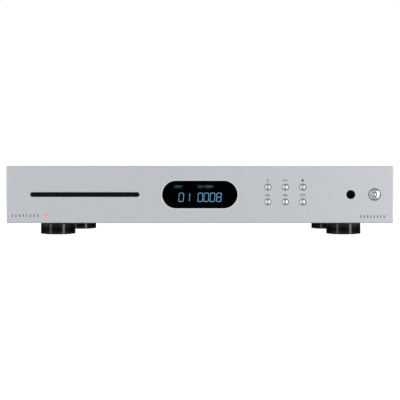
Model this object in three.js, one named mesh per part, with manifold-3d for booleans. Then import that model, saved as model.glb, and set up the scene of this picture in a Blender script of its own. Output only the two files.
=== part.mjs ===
// A slot-loading compact disc player: a low aluminium-fronted case on four round feet, with its loader,
// optical pickup, boards, transformer and rear sockets inside. Millimetres, +Z up. The model is laid out
// with y = 0 on the fascia's front face and y growing towards the back, and the last lines centre it over
// its own footprint.

import * as THREE from "three";
import { mergeVertices } from "three/addons/utils/BufferGeometryUtils.js";
import Module from "manifold-3d";

const wasm = await Module();
wasm.setup();

// ---------------------------------------------------------------- driving dimensions

// Case
const WIDTH = 445; // fascia, side to side
const CASE_DEPTH = 303; // fascia's front face to the rear panel's outer face
const FASCIA_HEIGHT = 65.5;
const FASCIA_THICK = 6;
const FASCIA_CORNER = 1.5; // corner radius seen from the front
const FASCIA_LIP = 0.8; // how far the fascia stands past the case above, below and beside it
const SHEET = 1.2; // folded steel sheet
const COVER_BEND = 2.5; // outside radius of the cover's two long bends
const FIT_GAP = 0.2; // air between pieces that rest against each other
const RUN_GAP = 0.3; // air between pieces that move past each other

// Feet
const FOOT_CLEARANCE = 14.5; // floor to the fascia's lower edge
const FOOT_DIAMETER = 40.8;
const FOOT_SET_IN = 50.3; // foot's centre to the case's side
const FRONT_FOOT_Y = 50.6;
const REAR_FOOT_INSET = 61; // rear foot's centre to the rear panel
const PAD_DIAMETER = 32;
const PAD_STANDS_OUT = 0.6; // rubber below the foot's shell

// Disc slot and display
const SLOT_INSET = 27; // fascia's left edge to the slot's end
const SLOT_WIDTH = 126.2;
const SLOT_HEIGHT = 5.5;
const WINDOW_WIDTH = 86.8;
const WINDOW_HEIGHT = 31.8;
const WINDOW_RECESS = 0.5;

// Controls
const BUTTON_BORE = 8.1;
const BUTTON_RING = 0.45; // open ring between a button and its bore
const BUTTON_PROUD = 1;
const BUTTON_TRAVEL = 0.8;
const BUTTON_START = 34.8; // window's end to the first column's centre
const BUTTON_PITCH_X = 20.1;
const BUTTON_PITCH_Z = 17;
const POWER_INSET = 21.6; // fascia's right edge to the power button's centre
const POWER_BORE = 14.3;
const POWER_RING = 1;
const POWER_PROUD = 1.5;
const POWER_TRAVEL = 1.5;
const IR_INSET = 48.9;
const IR_DIAMETER = 10.3;
const LED_INSET = 45.1;
const LED_HEIGHT = 8.6; // above the fascia's lower edge
const LED_DIAMETER = 2.9;

// Loader: its group's origin is the slot's middle on the fascia's front plane
const BAY_HEIGHT = 4.4; // free height that a disc passes through
const DISC_RADIUS = 60;
const DISC_THICK = 1.2;
const LOADER_HALF = 76; // half width over the side walls
const LOADER_FRONT = 16;
const LOADER_REAR = 174;
const LOADER_DROP = 25.5; // slot's middle down to the loader's underside
const LOADER_RISE = 9.6; // slot's middle up to the side walls' top
const SPINDLE_Y = 95;
const CONE_HEIGHT = 2; // turntable's centring cone above its platter
const PLATTER_RADIUS = 14;
const ROLLER_Y = 26;
const ROLLER_RADIUS = 5;
const SHAFT_RADIUS = 1.5; // every steel rod in the loader
const ARM_DROP = 4; // roller's axis above the arm's pivot
const GEAR_MODULE = 0.8;
const ROLLER_TEETH = 18;
const IDLER_TEETH = 26;
const BACKLASH = 0.12; // share of the pitch left out of each tooth
const PULLEY_RADIUS = 6;
const MOTOR_PULLEY_RADIUS = 2.4;
const BELT = 1.2; // belt's thickness
const SLED_TRAVEL = 33;
const LENS_RADIUS_IN = 25; // lens to spindle with the sled fully in
const CAM_TRAVEL = 16;

// Electronics and rear
const BOARD_THICK = 1.6;
const MAIN_BOARD_WIDTH = 140;
const MAIN_BOARD_LENGTH = 150;
const STANDOFF = 5.5;
const TRANSFORMER_RADIUS = 40;
const TRANSFORMER_HEIGHT = 34;
const TRANSFORMER_INSET = 66; // its centre to the case's right side
const TRANSFORMER_Y = 110;
const SOCKET_RISE = 12; // sockets' axis above the main board
const SOCKET_REACH = 9.5; // coaxial socket's barrel behind the rear panel
const INLET_INSET = 48; // mains inlet's centre to the case's right side
const SWITCH_INSET = 92;

// ---------------------------------------------------------------- worked-out planes

const FASCIA_MID_Z = FOOT_CLEARANCE + FASCIA_HEIGHT / 2;
const CASE_HALF = WIDTH / 2 - FASCIA_LIP;
const CASE_BOTTOM = FOOT_CLEARANCE + FASCIA_LIP;
const CASE_TOP = FOOT_CLEARANCE + FASCIA_HEIGHT - FASCIA_LIP;
const FLOOR_TOP = CASE_BOTTOM + SHEET;
const CHASSIS_HALF = CASE_HALF - SHEET - FIT_GAP;
const BEHIND_FASCIA = FASCIA_THICK + FIT_GAP;
const SLOT_X = -WIDTH / 2 + SLOT_INSET + SLOT_WIDTH / 2;
const POWER_X = WIDTH / 2 - POWER_INSET;
const IR_X = WIDTH / 2 - IR_INSET;
const LED_X = -WIDTH / 2 + LED_INSET;
const LED_Z = FOOT_CLEARANCE + LED_HEIGHT;
const BUTTON_X = WINDOW_WIDTH / 2 + BUTTON_START;
const FRONT_BOARD_Y = 15;
const REAR_INNER = CASE_DEPTH - SHEET;
const MAIN_BOARD_Z = FLOOR_TOP + STANDOFF;
const MAIN_BOARD_TOP = MAIN_BOARD_Z + BOARD_THICK;
const SOCKET_Z = MAIN_BOARD_TOP + SOCKET_RISE;
const FOOT_X = CASE_HALF - FOOT_SET_IN;
const REAR_FOOT_Y = CASE_DEPTH - REAR_FOOT_INSET;
const FOOT_SCREW_BORE = 4.4;
const TRANSFORMER_X = CASE_HALF - TRANSFORMER_INSET;
const MAIN_BOARD_X = SLOT_X + LOADER_HALF + 12 + MAIN_BOARD_WIDTH / 2;
const INLET_X = CASE_HALF - INLET_INSET;
const SWITCH_X = CASE_HALF - SWITCH_INSET;

// Each transport button, by its column and row from the top left
const BUTTONS = [
  ["eject_button", 0, 0],
  ["play_pause_button", 1, 0],
  ["stop_button", 2, 0],
  ["previous_button", 0, 1],
  ["next_button", 1, 1],
  ["repeat_button", 2, 1],
].map(([name, column, row]) => ({
  name,
  x: BUTTON_X + column * BUTTON_PITCH_X,
  z: FASCIA_MID_Z + (0.5 - row) * BUTTON_PITCH_Z,
}));

// ---------------------------------------------------------------- shapes and solids

const rad = (degrees) => (degrees * Math.PI) / 180;
const X = new THREE.Vector3(1, 0, 0);
const Y = new THREE.Vector3(0, 1, 0);
const Z = new THREE.Vector3(0, 0, 1);

// A closed geometry as a solid that can be cut and joined; a profile may run either way round.
function solid(geometry) {
  const bare = new THREE.BufferGeometry().setAttribute("position", geometry.getAttribute("position"));
  if (geometry.index) bare.setIndex(geometry.index);
  const merged = mergeVertices(bare, 1e-4);
  const corners = merged.index.array;
  const position = merged.getAttribute("position");
  const faces = [];
  let volume = 0;
  for (let i = 0; i < corners.length; i += 3) {
    const [a, b, c] = [corners[i], corners[i + 1], corners[i + 2]];
    if (a === b || b === c || a === c) continue;
    faces.push([a, b, c]);
    const [p, q, r] = [a, b, c].map((k) => new THREE.Vector3().fromBufferAttribute(position, k));
    volume += p.dot(q.cross(r));
  }
  if (volume < 0) faces.forEach((face) => face.reverse());
  const triVerts = new Uint32Array(faces.flat());
  return new wasm.Manifold(new wasm.Mesh({ numProp: 3, vertProperties: position.array, triVerts }));
}

const join = (...solids) => solids.reduce((all, next) => all.add(next));
const cut = (body, ...tools) => tools.reduce((left, tool) => left.subtract(tool), body);

// The point at an angle on a circle about (cx, cy).
function onCircle(cx, cy, radius, angle) {
  return new THREE.Vector2(cx + radius * Math.cos(angle), cy + radius * Math.sin(angle));
}

// A circle's points about (cx, cy).
function circle(cx, cy, radius, sides) {
  const points = [];
  for (let i = 0; i < sides; i++) points.push(onCircle(cx, cy, radius, (2 * Math.PI * i) / sides));
  return points;
}

// A rectangle with rounded corners about (cx, cy); a radius of half its height gives it round ends.
function roundedRect(cx, cy, width, height, radius = 0, steps = 4) {
  const points = [];
  const corners = [[1, 1], [-1, 1], [-1, -1], [1, -1]];
  corners.forEach(([sx, sy], quarter) => {
    for (let i = 0; i <= (radius ? steps : 0); i++) {
      const a = rad(90 * (quarter + i / steps));
      const x = cx + sx * (width / 2 - radius) + radius * Math.cos(a);
      const y = cy + sy * (height / 2 - radius) + radius * Math.sin(a);
      if (radius) points.push(new THREE.Vector2(x, y));
      else points.push(new THREE.Vector2(cx + (sx * width) / 2, cy + (sy * height) / 2));
    }
  });
  return points.filter((p, i) => p.distanceTo(points[(i + 1) % points.length]) > 1e-6);
}

// The outline of a belt round two circles, or of a link between them: two arcs and their outer tangents.
function linkOutline(a, radiusA, b, radiusB, steps = 10) {
  const direction = Math.atan2(b.y - a.y, b.x - a.x);
  const half = Math.acos((radiusA - radiusB) / a.distanceTo(b));
  const points = [];
  for (const [centre, radius, from, sweep] of [
    [a, radiusA, direction + half, 2 * Math.PI - 2 * half],
    [b, radiusB, direction - half, 2 * half],
  ])
    for (let i = 0; i <= steps; i++) {
      const angle = from + (sweep * i) / steps;
      points.push(onCircle(centre.x, centre.y, radius, angle));
    }
  return points;
}

// A spur gear's outline with involute flanks, about the origin, with a tooth centred on angle 0.
function gearOutline(teeth, module) {
  const pitch = (teeth * module) / 2;
  const base = pitch * Math.cos(rad(20));
  const involute = (radius) => {
    const a = Math.acos(Math.min(1, base / radius));
    return Math.tan(a) - a;
  };
  const halfAtPitch = (Math.PI / 2 / teeth) * (1 - 2 * BACKLASH);
  const radii = [pitch - 1.25 * module, pitch, pitch + module];
  const halves = radii.map((r) => halfAtPitch + involute(pitch) - involute(Math.max(r, base)));
  const points = [];
  for (let tooth = 0; tooth < teeth; tooth++) {
    const middle = (2 * Math.PI * tooth) / teeth;
    radii.forEach((r, i) => points.push(onCircle(0, 0, r, middle - halves[i])));
    radii.toReversed().forEach((r, i) => points.push(onCircle(0, 0, r, middle + halves.toReversed()[i])));
  }
  return points;
}

// A flat outline given a thickness along an axis from a start plane. Along z the outline lies in x and y,
// along y it stands in x and z, and along x it stands in y and z.
function extruded(axis, start, thick, outline) {
  const options = { depth: thick, bevelEnabled: false };
  const geometry = new THREE.ExtrudeGeometry(new THREE.Shape(outline), options);
  if (axis === "z") geometry.translate(0, 0, start);
  if (axis === "y") geometry.rotateX(Math.PI / 2).translate(0, start + thick, 0);
  if (axis === "x") geometry.applyMatrix4(new THREE.Matrix4().makeBasis(Y, Z, X)).translate(start, 0, 0);
  return solid(geometry);
}

// The same with holes cut through it.
function slab(axis, start, thick, outline, ...holes) {
  const tools = holes.map((hole) => extruded(axis, start - 1, thick + 2, hole));
  return cut(extruded(axis, start, thick, outline), ...tools);
}

// A box from one corner to the other.
function block([x0, y0, z0], [x1, y1, z1]) {
  const geometry = new THREE.BoxGeometry(x1 - x0, y1 - y0, z1 - z0);
  return solid(geometry.translate((x0 + x1) / 2, (y0 + y1) / 2, (z0 + z1) / 2));
}

// A turned piece about an axis through the origin; each profile point is [radius, place along the axis].
function turned(axis, profile, sides = 24) {
  const closed = profile[0][0] > 0 ? [...profile, profile[0]] : profile;
  const geometry = new THREE.LatheGeometry(closed.map(([r, h]) => new THREE.Vector2(r, h)), sides);
  if (axis === "z") geometry.rotateX(Math.PI / 2);
  if (axis === "x") geometry.rotateZ(-Math.PI / 2);
  return solid(geometry);
}

// A plain round bar or, with a bore, a tube.
function bar(axis, radius, from, to, bore = 0, sides = 16) {
  if (bore) return turned(axis, [[bore, from], [radius, from], [radius, to], [bore, to]], sides);
  return turned(axis, [[0, from], [radius, from], [radius, to], [0, to]], sides);
}

// ---------------------------------------------------------------- finishes

const FINISHES = {
  fascia_aluminium: { color: 0xc3c8cb, roughness: 0.42, metalness: 1 },
  button_metal: { color: 0xd2d4d6, roughness: 0.18, metalness: 1 },
  case_paint: { color: 0xb9bec1, roughness: 0.5, metalness: 0.3 },
  zinc_steel: { color: 0xa9abad, roughness: 0.35, metalness: 1 },
  steel_rod: { color: 0xcfd0d2, roughness: 0.15, metalness: 1 },
  smoked_lens: { color: 0x050607, roughness: 0.05, metalness: 0 },
  display_glass: { color: 0x0a1018, roughness: 0.1, metalness: 0 },
  black_plastic: { color: 0x141516, roughness: 0.45, metalness: 0 },
  foot_plastic: { color: 0x0b0c0c, roughness: 0.22, metalness: 0 },
  foot_rubber: { color: 0x1a1a1a, roughness: 0.9, metalness: 0 },
  roller_rubber: { color: 0x2b2c2e, roughness: 0.8, metalness: 0 },
  felt: { color: 0x101011, roughness: 1, metalness: 0 },
  led_amber: { color: 0xff5a1e, roughness: 0.3, metalness: 0 },
  white_plastic: { color: 0xe2e0d8, roughness: 0.5, metalness: 0 },
  circuit_board: { color: 0x1d5a35, roughness: 0.5, metalness: 0 },
  winding: { color: 0x8a4b22, roughness: 0.45, metalness: 0.3 },
  lens_glass: { color: 0x5a6f9a, roughness: 0.05, metalness: 0 },
  brass: { color: 0xc9a24a, roughness: 0.25, metalness: 1 },
};

const player = new THREE.Group();

// Adds a finished solid to a group as a named mesh with a material of its own.
function piece(group, name, slot, body, place = [0, 0, 0]) {
  const { vertProperties, triVerts } = body.getMesh();
  const geometry = new THREE.BufferGeometry()
    .setAttribute("position", new THREE.BufferAttribute(vertProperties, 3))
    .setIndex(new THREE.BufferAttribute(triVerts, 1));
  geometry.computeVertexNormals();
  const mesh = new THREE.Mesh(geometry, new THREE.MeshStandardMaterial(FINISHES[slot]));
  mesh.name = name;
  mesh.position.set(...place);
  group.add(mesh);
  return mesh;
}

// ---------------------------------------------------------------- case

// The thick aluminium front, with the slot, the window and a bore for each control.
function frontPanel() {
  const holes = [
    roundedRect(SLOT_X, FASCIA_MID_Z, SLOT_WIDTH, SLOT_HEIGHT, SLOT_HEIGHT / 2, 5),
    roundedRect(0, FASCIA_MID_Z, WINDOW_WIDTH, WINDOW_HEIGHT, WINDOW_HEIGHT / 2, 10),
    circle(POWER_X, FASCIA_MID_Z, POWER_BORE / 2, 28),
    circle(IR_X, FASCIA_MID_Z, IR_DIAMETER / 2, 24),
    circle(LED_X, LED_Z, LED_DIAMETER / 2, 12),
    ...BUTTONS.map(({ x, z }) => circle(x, z, BUTTON_BORE / 2, 20)),
  ];
  const outline = roundedRect(0, FASCIA_MID_Z, WIDTH, FASCIA_HEIGHT, FASCIA_CORNER, 3);
  return slab("y", 0, FASCIA_THICK, outline, ...holes);
}

// The painted cover: one sheet bent over the top and down both sides.
function topCover() {
  const height = CASE_TOP - CASE_BOTTOM;
  const middle = (CASE_TOP + CASE_BOTTOM) / 2;
  const start = FASCIA_THICK + FIT_GAP;
  const length = CASE_DEPTH - start;
  const shell = slab("y", start, length, roundedRect(0, middle, 2 * CASE_HALF, height, COVER_BEND, 3));
  const squareTop = CASE_BOTTOM + 2 * COVER_BEND; // the sides run straight down below here
  const lower = block([-WIDTH, -1, CASE_BOTTOM - 1], [WIDTH, CASE_DEPTH + 1, squareTop]);
  const squareSides = slab("y", start, length, roundedRect(0, middle, 2 * CASE_HALF, height));
  const roof = CASE_TOP - SHEET;
  const open = CASE_BOTTOM - 2 * COVER_BEND; // the hollow runs out through the open underside
  const width = 2 * (CASE_HALF - SHEET);
  const hollow = roundedRect(0, (open + roof) / 2, width, roof - open, COVER_BEND - SHEET, 2);
  return cut(join(shell, squareSides.intersect(lower)), slab("y", -1, CASE_DEPTH + 2, hollow));
}

// Openings in the chassis's front wall, each a little larger than what stands behind the fascia there.
function frontWallOpenings() {
  const room = 5;
  const rows = BUTTON_PITCH_Z + 2 * (BUTTON_BORE / 2 + room);
  const columns = 2 * BUTTON_PITCH_X + 2 * (BUTTON_BORE / 2 + room);
  return [
    roundedRect(SLOT_X, FASCIA_MID_Z, SLOT_WIDTH + 20, SLOT_HEIGHT + 20),
    roundedRect(0, FASCIA_MID_Z, WINDOW_WIDTH + 2 * room, WINDOW_HEIGHT + 2 * room),
    roundedRect(BUTTON_X + BUTTON_PITCH_X, FASCIA_MID_Z, columns, rows),
    circle(POWER_X, FASCIA_MID_Z, POWER_BORE / 2 + room, 16),
    circle(IR_X, FASCIA_MID_Z, IR_DIAMETER / 2 + room, 16),
    circle(LED_X, LED_Z, LED_DIAMETER / 2 + 2, 12),
  ];
}

// The steel base tray: a floor with vents, a front wall behind the fascia, side flanges and standoffs.
function bottomChassis() {
  const wallTop = CASE_TOP - SHEET - FIT_GAP;
  const ventLength = 46;
  const ventPitch = 9;
  const ventY = (TRANSFORMER_Y + REAR_FOOT_Y) / 2 + 20;
  const vents = [];
  for (let i = -3; i <= 3; i++)
    for (const x of [-0.5, 0.5])
      vents.push(roundedRect(x * (ventLength + 12), ventY + i * ventPitch, ventLength, 3, 1.5, 2));
  const screws = footPlaces().map(([x, y]) => circle(x, y, FOOT_SCREW_BORE / 2, 12));
  const floorLength = CASE_DEPTH - BEHIND_FASCIA;
  const outline = roundedRect(0, BEHIND_FASCIA + floorLength / 2, 2 * CHASSIS_HALF, floorLength);
  const floor = slab("z", CASE_BOTTOM, SHEET, outline, ...vents, ...screws);
  const wallHeight = wallTop - CASE_BOTTOM;
  const wallMiddle = (CASE_BOTTOM + wallTop) / 2;
  const wallOutline = roundedRect(0, wallMiddle, 2 * CHASSIS_HALF, wallHeight, COVER_BEND, 3);
  const wall = slab("y", BEHIND_FASCIA, SHEET, wallOutline, ...frontWallOpenings());
  const flangeRear = REAR_INNER - FIT_GAP;
  const flangeTop = CASE_BOTTOM + 14;
  const flange = (x) => block([x, BEHIND_FASCIA, CASE_BOTTOM], [x + SHEET, flangeRear, flangeTop]);
  const post = ([x, y], top) =>
    bar("z", 3.2, CASE_BOTTOM + 0.5, top - FIT_GAP, 0, 12).translate([x, y, 0]);
  const loaderUnderside = FASCIA_MID_Z - LOADER_DROP;
  const posts = [
    ...mainBoardHoles().map((place) => post(place, MAIN_BOARD_Z)),
    ...loaderCorners().map((place) => post(place, loaderUnderside)),
  ];
  return join(floor, wall, flange(-CHASSIS_HALF), flange(CHASSIS_HALF - SHEET), ...posts);
}

// The separate rear panel, with a cut-out for each connector.
function rearPanel() {
  const top = CASE_TOP - SHEET - FIT_GAP;
  const bottom = FLOOR_TOP + FIT_GAP;
  return slab(
    "y",
    REAR_INNER,
    SHEET,
    roundedRect(0, (top + bottom) / 2, 2 * CHASSIS_HALF, top - bottom, COVER_BEND, 3),
    roundedRect(INLET_X, FASCIA_MID_Z, INLET_BODY[0] + 2 * FIT_GAP, INLET_BODY[1] + 2 * FIT_GAP),
    roundedRect(SWITCH_X, FASCIA_MID_Z, SWITCH_BODY[0] + 2 * FIT_GAP, SWITCH_BODY[1] + 2 * FIT_GAP),
    circle(COAX_X, SOCKET_Z, COAX_RADIUS + RUN_GAP, 16),
    roundedRect(OPTICAL_X, SOCKET_Z, OPTICAL_SIZE + 2 * FIT_GAP, OPTICAL_SIZE + 2 * FIT_GAP),
    ...TRIGGER_XS.map((x) => circle(x, SOCKET_Z, TRIGGER_RADIUS + RUN_GAP, 14)),
  );
}

// ---------------------------------------------------------------- feet

function footPlaces() {
  return [
    [-FOOT_X, FRONT_FOOT_Y],
    [FOOT_X, FRONT_FOOT_Y],
    [-FOOT_X, REAR_FOOT_Y],
    [FOOT_X, REAR_FOOT_Y],
  ];
}
const FOOT_NAMES = ["front_left", "front_right", "rear_left", "rear_right"];
const PAD_SEAT = 2; // depth of the recess that holds the pad

// The moulded shell: a drum with a small rounded lower edge, a recess for the pad and a bore for a screw.
function footShell() {
  const outer = FOOT_DIAMETER / 2;
  const top = CASE_BOTTOM - FIT_GAP;
  const seat = PAD_DIAMETER / 2 + FIT_GAP;
  const edge = 1;
  return turned("z", [
    [FOOT_SCREW_BORE / 2, top],
    [outer, top],
    [outer, PAD_STANDS_OUT + edge],
    [outer - edge * 0.3, PAD_STANDS_OUT + edge * 0.3],
    [outer - edge, PAD_STANDS_OUT],
    [seat, PAD_STANDS_OUT],
    [seat, PAD_STANDS_OUT + PAD_SEAT],
    [FOOT_SCREW_BORE / 2, PAD_STANDS_OUT + PAD_SEAT],
  ]);
}

// The rubber ring that the player stands on.
function footPad() {
  const hole = 6;
  return bar("z", PAD_DIAMETER / 2, 0, PAD_STANDS_OUT + PAD_SEAT - FIT_GAP, hole, 24);
}

// ---------------------------------------------------------------- fascia fittings

// A window pushed in from behind: a boss that fills its opening and a flange behind the fascia.
function displayWindow() {
  const flange = 2;
  const margin = 3;
  const width = WINDOW_WIDTH - 2 * FIT_GAP;
  const height = WINDOW_HEIGHT - 2 * FIT_GAP;
  const depth = BEHIND_FASCIA + 0.5 - WINDOW_RECESS;
  const boss = slab("y", WINDOW_RECESS, depth, roundedRect(0, 0, width, height, height / 2, 9));
  const radius = height / 2 + margin;
  const rimOutline = roundedRect(0, 0, width + 2 * margin, height + 2 * margin, radius, 6);
  return join(boss, slab("y", BEHIND_FASCIA, flange, rimOutline));
}

// The round window over the infrared receiver, with a flange behind the fascia.
function irWindow() {
  const radius = IR_DIAMETER / 2 - FIT_GAP;
  const front = 0.3;
  const flange = radius + 1.6;
  const back = BEHIND_FASCIA + 1.2;
  return turned("y", [
    [0, front],
    [radius, front],
    [radius, BEHIND_FASCIA],
    [flange, BEHIND_FASCIA],
    [flange, back],
    [0, back],
  ], 20);
}

// The standby lamp: a round lamp with a collar behind the fascia and a longer base.
function standbyLed() {
  const radius = LED_DIAMETER / 2 - FIT_GAP;
  const collar = BEHIND_FASCIA + 1;
  return turned("y", [
    [0, -0.4],
    [radius * 0.7, -0.25],
    [radius, 0.1],
    [radius, BEHIND_FASCIA],
    [radius + 0.8, BEHIND_FASCIA],
    [radius + 0.8, collar],
    [radius + 0.3, collar],
    [radius + 0.3, collar + 4],
    [0, collar + 4],
  ], 12);
}

const SWITCH_FACE = FRONT_BOARD_Y - 4.3; // front of a key switch on the front board

// A transport button: a domed metal cap, a flange that keeps it behind the fascia, and a stem.
function transportButton() {
  const radius = BUTTON_BORE / 2 - BUTTON_RING;
  const flange = FASCIA_THICK + RUN_GAP;
  const end = SWITCH_FACE - BUTTON_TRAVEL - RUN_GAP;
  return turned("y", [
    [0, -BUTTON_PROUD],
    [radius * 0.4, 0.18 - BUTTON_PROUD],
    [radius * 0.7, 0.57 - BUTTON_PROUD],
    [radius, 1.25 - BUTTON_PROUD],
    [radius, flange],
    [radius + 1.2, flange],
    [radius + 1.2, flange + 1],
    [1.6, flange + 1],
    [1.6, end],
    [0, end],
  ], 16);
}

// The power button: a wide domed cap with a ring groove round a small raised boss.
function powerButton() {
  const radius = POWER_BORE / 2 - POWER_RING;
  const flange = FASCIA_THICK + RUN_GAP;
  const end = SWITCH_FACE - POWER_TRAVEL - RUN_GAP;
  return turned("y", [
    [0, 0.1 - POWER_PROUD],
    [radius * 0.33, 0.34 - POWER_PROUD],
    [radius * 0.44, 0.75 - POWER_PROUD],
    [radius * 0.5, 0.75 - POWER_PROUD],
    [radius * 0.6, -POWER_PROUD],
    [radius * 0.8, 0.35 - POWER_PROUD],
    [radius, 0.96 - POWER_PROUD],
    [radius, flange],
    [radius + 2.2, flange],
    [radius + 2.2, flange + 0.9],
    [2, flange + 0.9],
    [2, end],
    [0, end],
  ]);
}

// ---------------------------------------------------------------- slot trim, display and front board

const FELT_THICK = 1.5;

// A felt gasket behind the slot, cut to leave just the disc's height open.
function slotFelt() {
  const outer = roundedRect(0, 0, SLOT_WIDTH + 8, SLOT_HEIGHT + 8, 3, 2);
  const mouth = roundedRect(0, 0, SLOT_WIDTH - 1, BAY_HEIGHT, BAY_HEIGHT / 2, 3);
  return slab("y", BEHIND_FASCIA, FELT_THICK, outer, mouth);
}

// The moulded throat between the felt and the loader.
function slotBezel() {
  const start = BEHIND_FASCIA + FELT_THICK + FIT_GAP;
  const outer = roundedRect(0, 0, SLOT_WIDTH + 12, SLOT_HEIGHT + 12, 2, 2);
  const throat = roundedRect(0, 0, SLOT_WIDTH, SLOT_HEIGHT, SLOT_HEIGHT / 2, 3);
  return slab("y", start, LOADER_FRONT - RUN_GAP - start, outer, throat);
}

// The display: a glass tile with its driver tray behind it.
function displayModule() {
  const front = BEHIND_FASCIA + 2 + FIT_GAP;
  const back = FRONT_BOARD_Y - FIT_GAP;
  const glass = [WINDOW_WIDTH - 14, WINDOW_HEIGHT - 5];
  return join(
    block([-glass[0] / 2, front, -glass[1] / 2], [glass[0] / 2, front + 2.5, glass[1] / 2]),
    block([-glass[0] / 2 - 3, front + 2, -glass[1] / 2 - 1], [glass[0] / 2 + 3, back, glass[1] / 2 + 1]),
  );
}

// The front circuit board with its soldered key switches and infrared receiver.
function frontBoard() {
  const left = SLOT_X + LOADER_HALF + 4;
  const right = CHASSIS_HALF - SHEET - 3;
  const bottom = FLOOR_TOP + 2;
  const top = CASE_TOP - SHEET - 3;
  const outline = roundedRect((left + right) / 2, (bottom + top) / 2, right - left, top - bottom);
  const board = slab("y", FRONT_BOARD_Y, BOARD_THICK, outline);
  const keySwitch = (x, z) =>
    join(
      block([x - 3, SWITCH_FACE + 0.8, z - 3], [x + 3, FRONT_BOARD_Y + 0.5, z + 3]),
      bar("y", 1.7, SWITCH_FACE, SWITCH_FACE + 1.5, 0, 10).translate([x, 0, z]),
    );
  const receiver = block([-3, -5, -3.5], [3, 0.5, 3.5]).translate([IR_X, FRONT_BOARD_Y, FASCIA_MID_Z]);
  const switches = BUTTONS.map(({ x, z }) => keySwitch(x, z));
  return join(board, receiver, ...switches, keySwitch(POWER_X, FASCIA_MID_Z));
}

// ---------------------------------------------------------------- loader frame

const LOADER_FLOOR = -LOADER_DROP + SHEET;
const WALL_INNER = LOADER_HALF - SHEET;
const ROLLER_Z = -BAY_HEIGHT / 2 - ROLLER_RADIUS - 0.05;
const GEAR_DISTANCE = (GEAR_MODULE * (ROLLER_TEETH + IDLER_TEETH)) / 2;
const PIVOT_Y = ROLLER_Y + Math.sqrt(GEAR_DISTANCE ** 2 - ARM_DROP ** 2);
const PIVOT_Z = ROLLER_Z - ARM_DROP;
const PIN_YS = [SPINDLE_Y - 15, SPINDLE_Y + 51];
const PUCK_BOTTOM = BAY_HEIGHT / 2 + RUN_GAP;
const PLATTER_REST = -BAY_HEIGHT / 2 - CONE_HEIGHT;
const DECK_LIFT = PUCK_BOTTOM - DISC_THICK - RUN_GAP - PLATTER_REST;
const DECK_TOP = PLATTER_REST - 4;
const DECK_UNDER = DECK_TOP - SHEET;
const DECK_HALF = 50;
const DECK_FRONT = SPINDLE_Y - 27;
const PIN_Z = DECK_UNDER - 3.6;
const CAM_X = DECK_HALF + 2; // inner face of the cam frame's side plates
const CAM_THICK = 1.5;
const GUIDE_X = CAM_X + CAM_THICK + 1.5; // inner face of the frame's guide tabs

function loaderCorners() {
  return [LOADER_FRONT + 12, LOADER_REAR - 12].flatMap((y) =>
    [-1, 1].map((side) => [SLOT_X + side * (LOADER_HALF - 8), y]),
  );
}

// The loader's folded steel tray, with four slotted tabs that keep the deck's pins upright as they rise.
function loaderFrame() {
  const length = LOADER_REAR - LOADER_FRONT;
  const middle = LOADER_FRONT + length / 2;
  const floor = slab("z", -LOADER_DROP, SHEET, roundedRect(0, middle, 2 * LOADER_HALF, length));
  const wallHeight = LOADER_RISE + LOADER_DROP;
  const wallOutline = roundedRect(middle, (LOADER_RISE - LOADER_DROP) / 2, length, wallHeight);
  const rodHole = circle(PIVOT_Y, PIVOT_Z, SHAFT_RADIUS + FIT_GAP, 12);
  const wall = (start) => slab("x", start, SHEET, wallOutline, rodHole);
  const across = (y, top) => block([-LOADER_HALF, y, -LOADER_DROP], [LOADER_HALF, y + SHEET, top]);
  const rear = across(LOADER_REAR - SHEET, -BAY_HEIGHT / 2 - 1);
  const lip = across(LOADER_FRONT, LOADER_FLOOR + 5);
  const tabTop = PIN_Z + DECK_LIFT + SHAFT_RADIUS + 2.5;
  const slotRadius = SHAFT_RADIUS + RUN_GAP;
  const slotHeight = DECK_LIFT + 2 * slotRadius;
  const tab = (y, start) =>
    slab(
      "x",
      start,
      SHEET,
      roundedRect(y, (tabTop - LOADER_DROP) / 2, 10, tabTop + LOADER_DROP),
      roundedRect(y, PIN_Z + DECK_LIFT / 2, 2 * slotRadius, slotHeight, slotRadius, 3),
    );
  const tabs = PIN_YS.flatMap((y) => [tab(y, GUIDE_X), tab(y, -GUIDE_X - SHEET)]);
  return join(floor, wall(-LOADER_HALF), wall(WALL_INNER), rear, lip, ...tabs);
}

// The plate across the top that carries the clamp puck.
function loaderBridge() {
  const outline = roundedRect(0, SPINDLE_Y, 2 * LOADER_HALF, 66, 3, 2);
  return slab("z", LOADER_RISE + FIT_GAP, SHEET, outline, circle(0, SPINDLE_Y, PLATTER_RADIUS, 24));
}

// The bar above the disc that the roller presses it against: its front edge is raised as a lead-in, and a
// longer rail on top, clear of the roller's gear, carries it between the side walls.
function discGuide() {
  const under = BAY_HEIGHT / 2 + 0.1;
  const [front, back] = [LOADER_FRONT + 2, ROLLER_Y + 8];
  const points = [
    [front, under + 2],
    [front + 3, under],
    [back, under],
    [back, under + 3],
    [front, under + 3],
  ];
  const half = DISC_RADIUS + 3;
  const rail = WALL_INNER - FIT_GAP;
  return join(
    slab("x", -half, 2 * half, points.map(([y, z]) => new THREE.Vector2(y, z))),
    block([-rail, front + 4, under + 2.5], [rail, back, under + 5]),
  );
}

// The magnetic puck that hangs in the bridge and grips the disc from above.
function clampPuck() {
  const boss = PLATTER_RADIUS - 1.5;
  const seat = LOADER_RISE + FIT_GAP + SHEET + FIT_GAP;
  return turned("z", [
    [0, seat + 2],
    [PLATTER_RADIUS + 3, seat + 2],
    [PLATTER_RADIUS + 3, seat],
    [boss, seat],
    [boss, PUCK_BOTTOM],
    [8.4, PUCK_BOTTOM],
    [7.4, PUCK_BOTTOM + CONE_HEIGHT + 0.5],
    [0, PUCK_BOTTOM + CONE_HEIGHT + 0.5],
  ]);
}

// ---------------------------------------------------------------- feed roller drive

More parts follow.
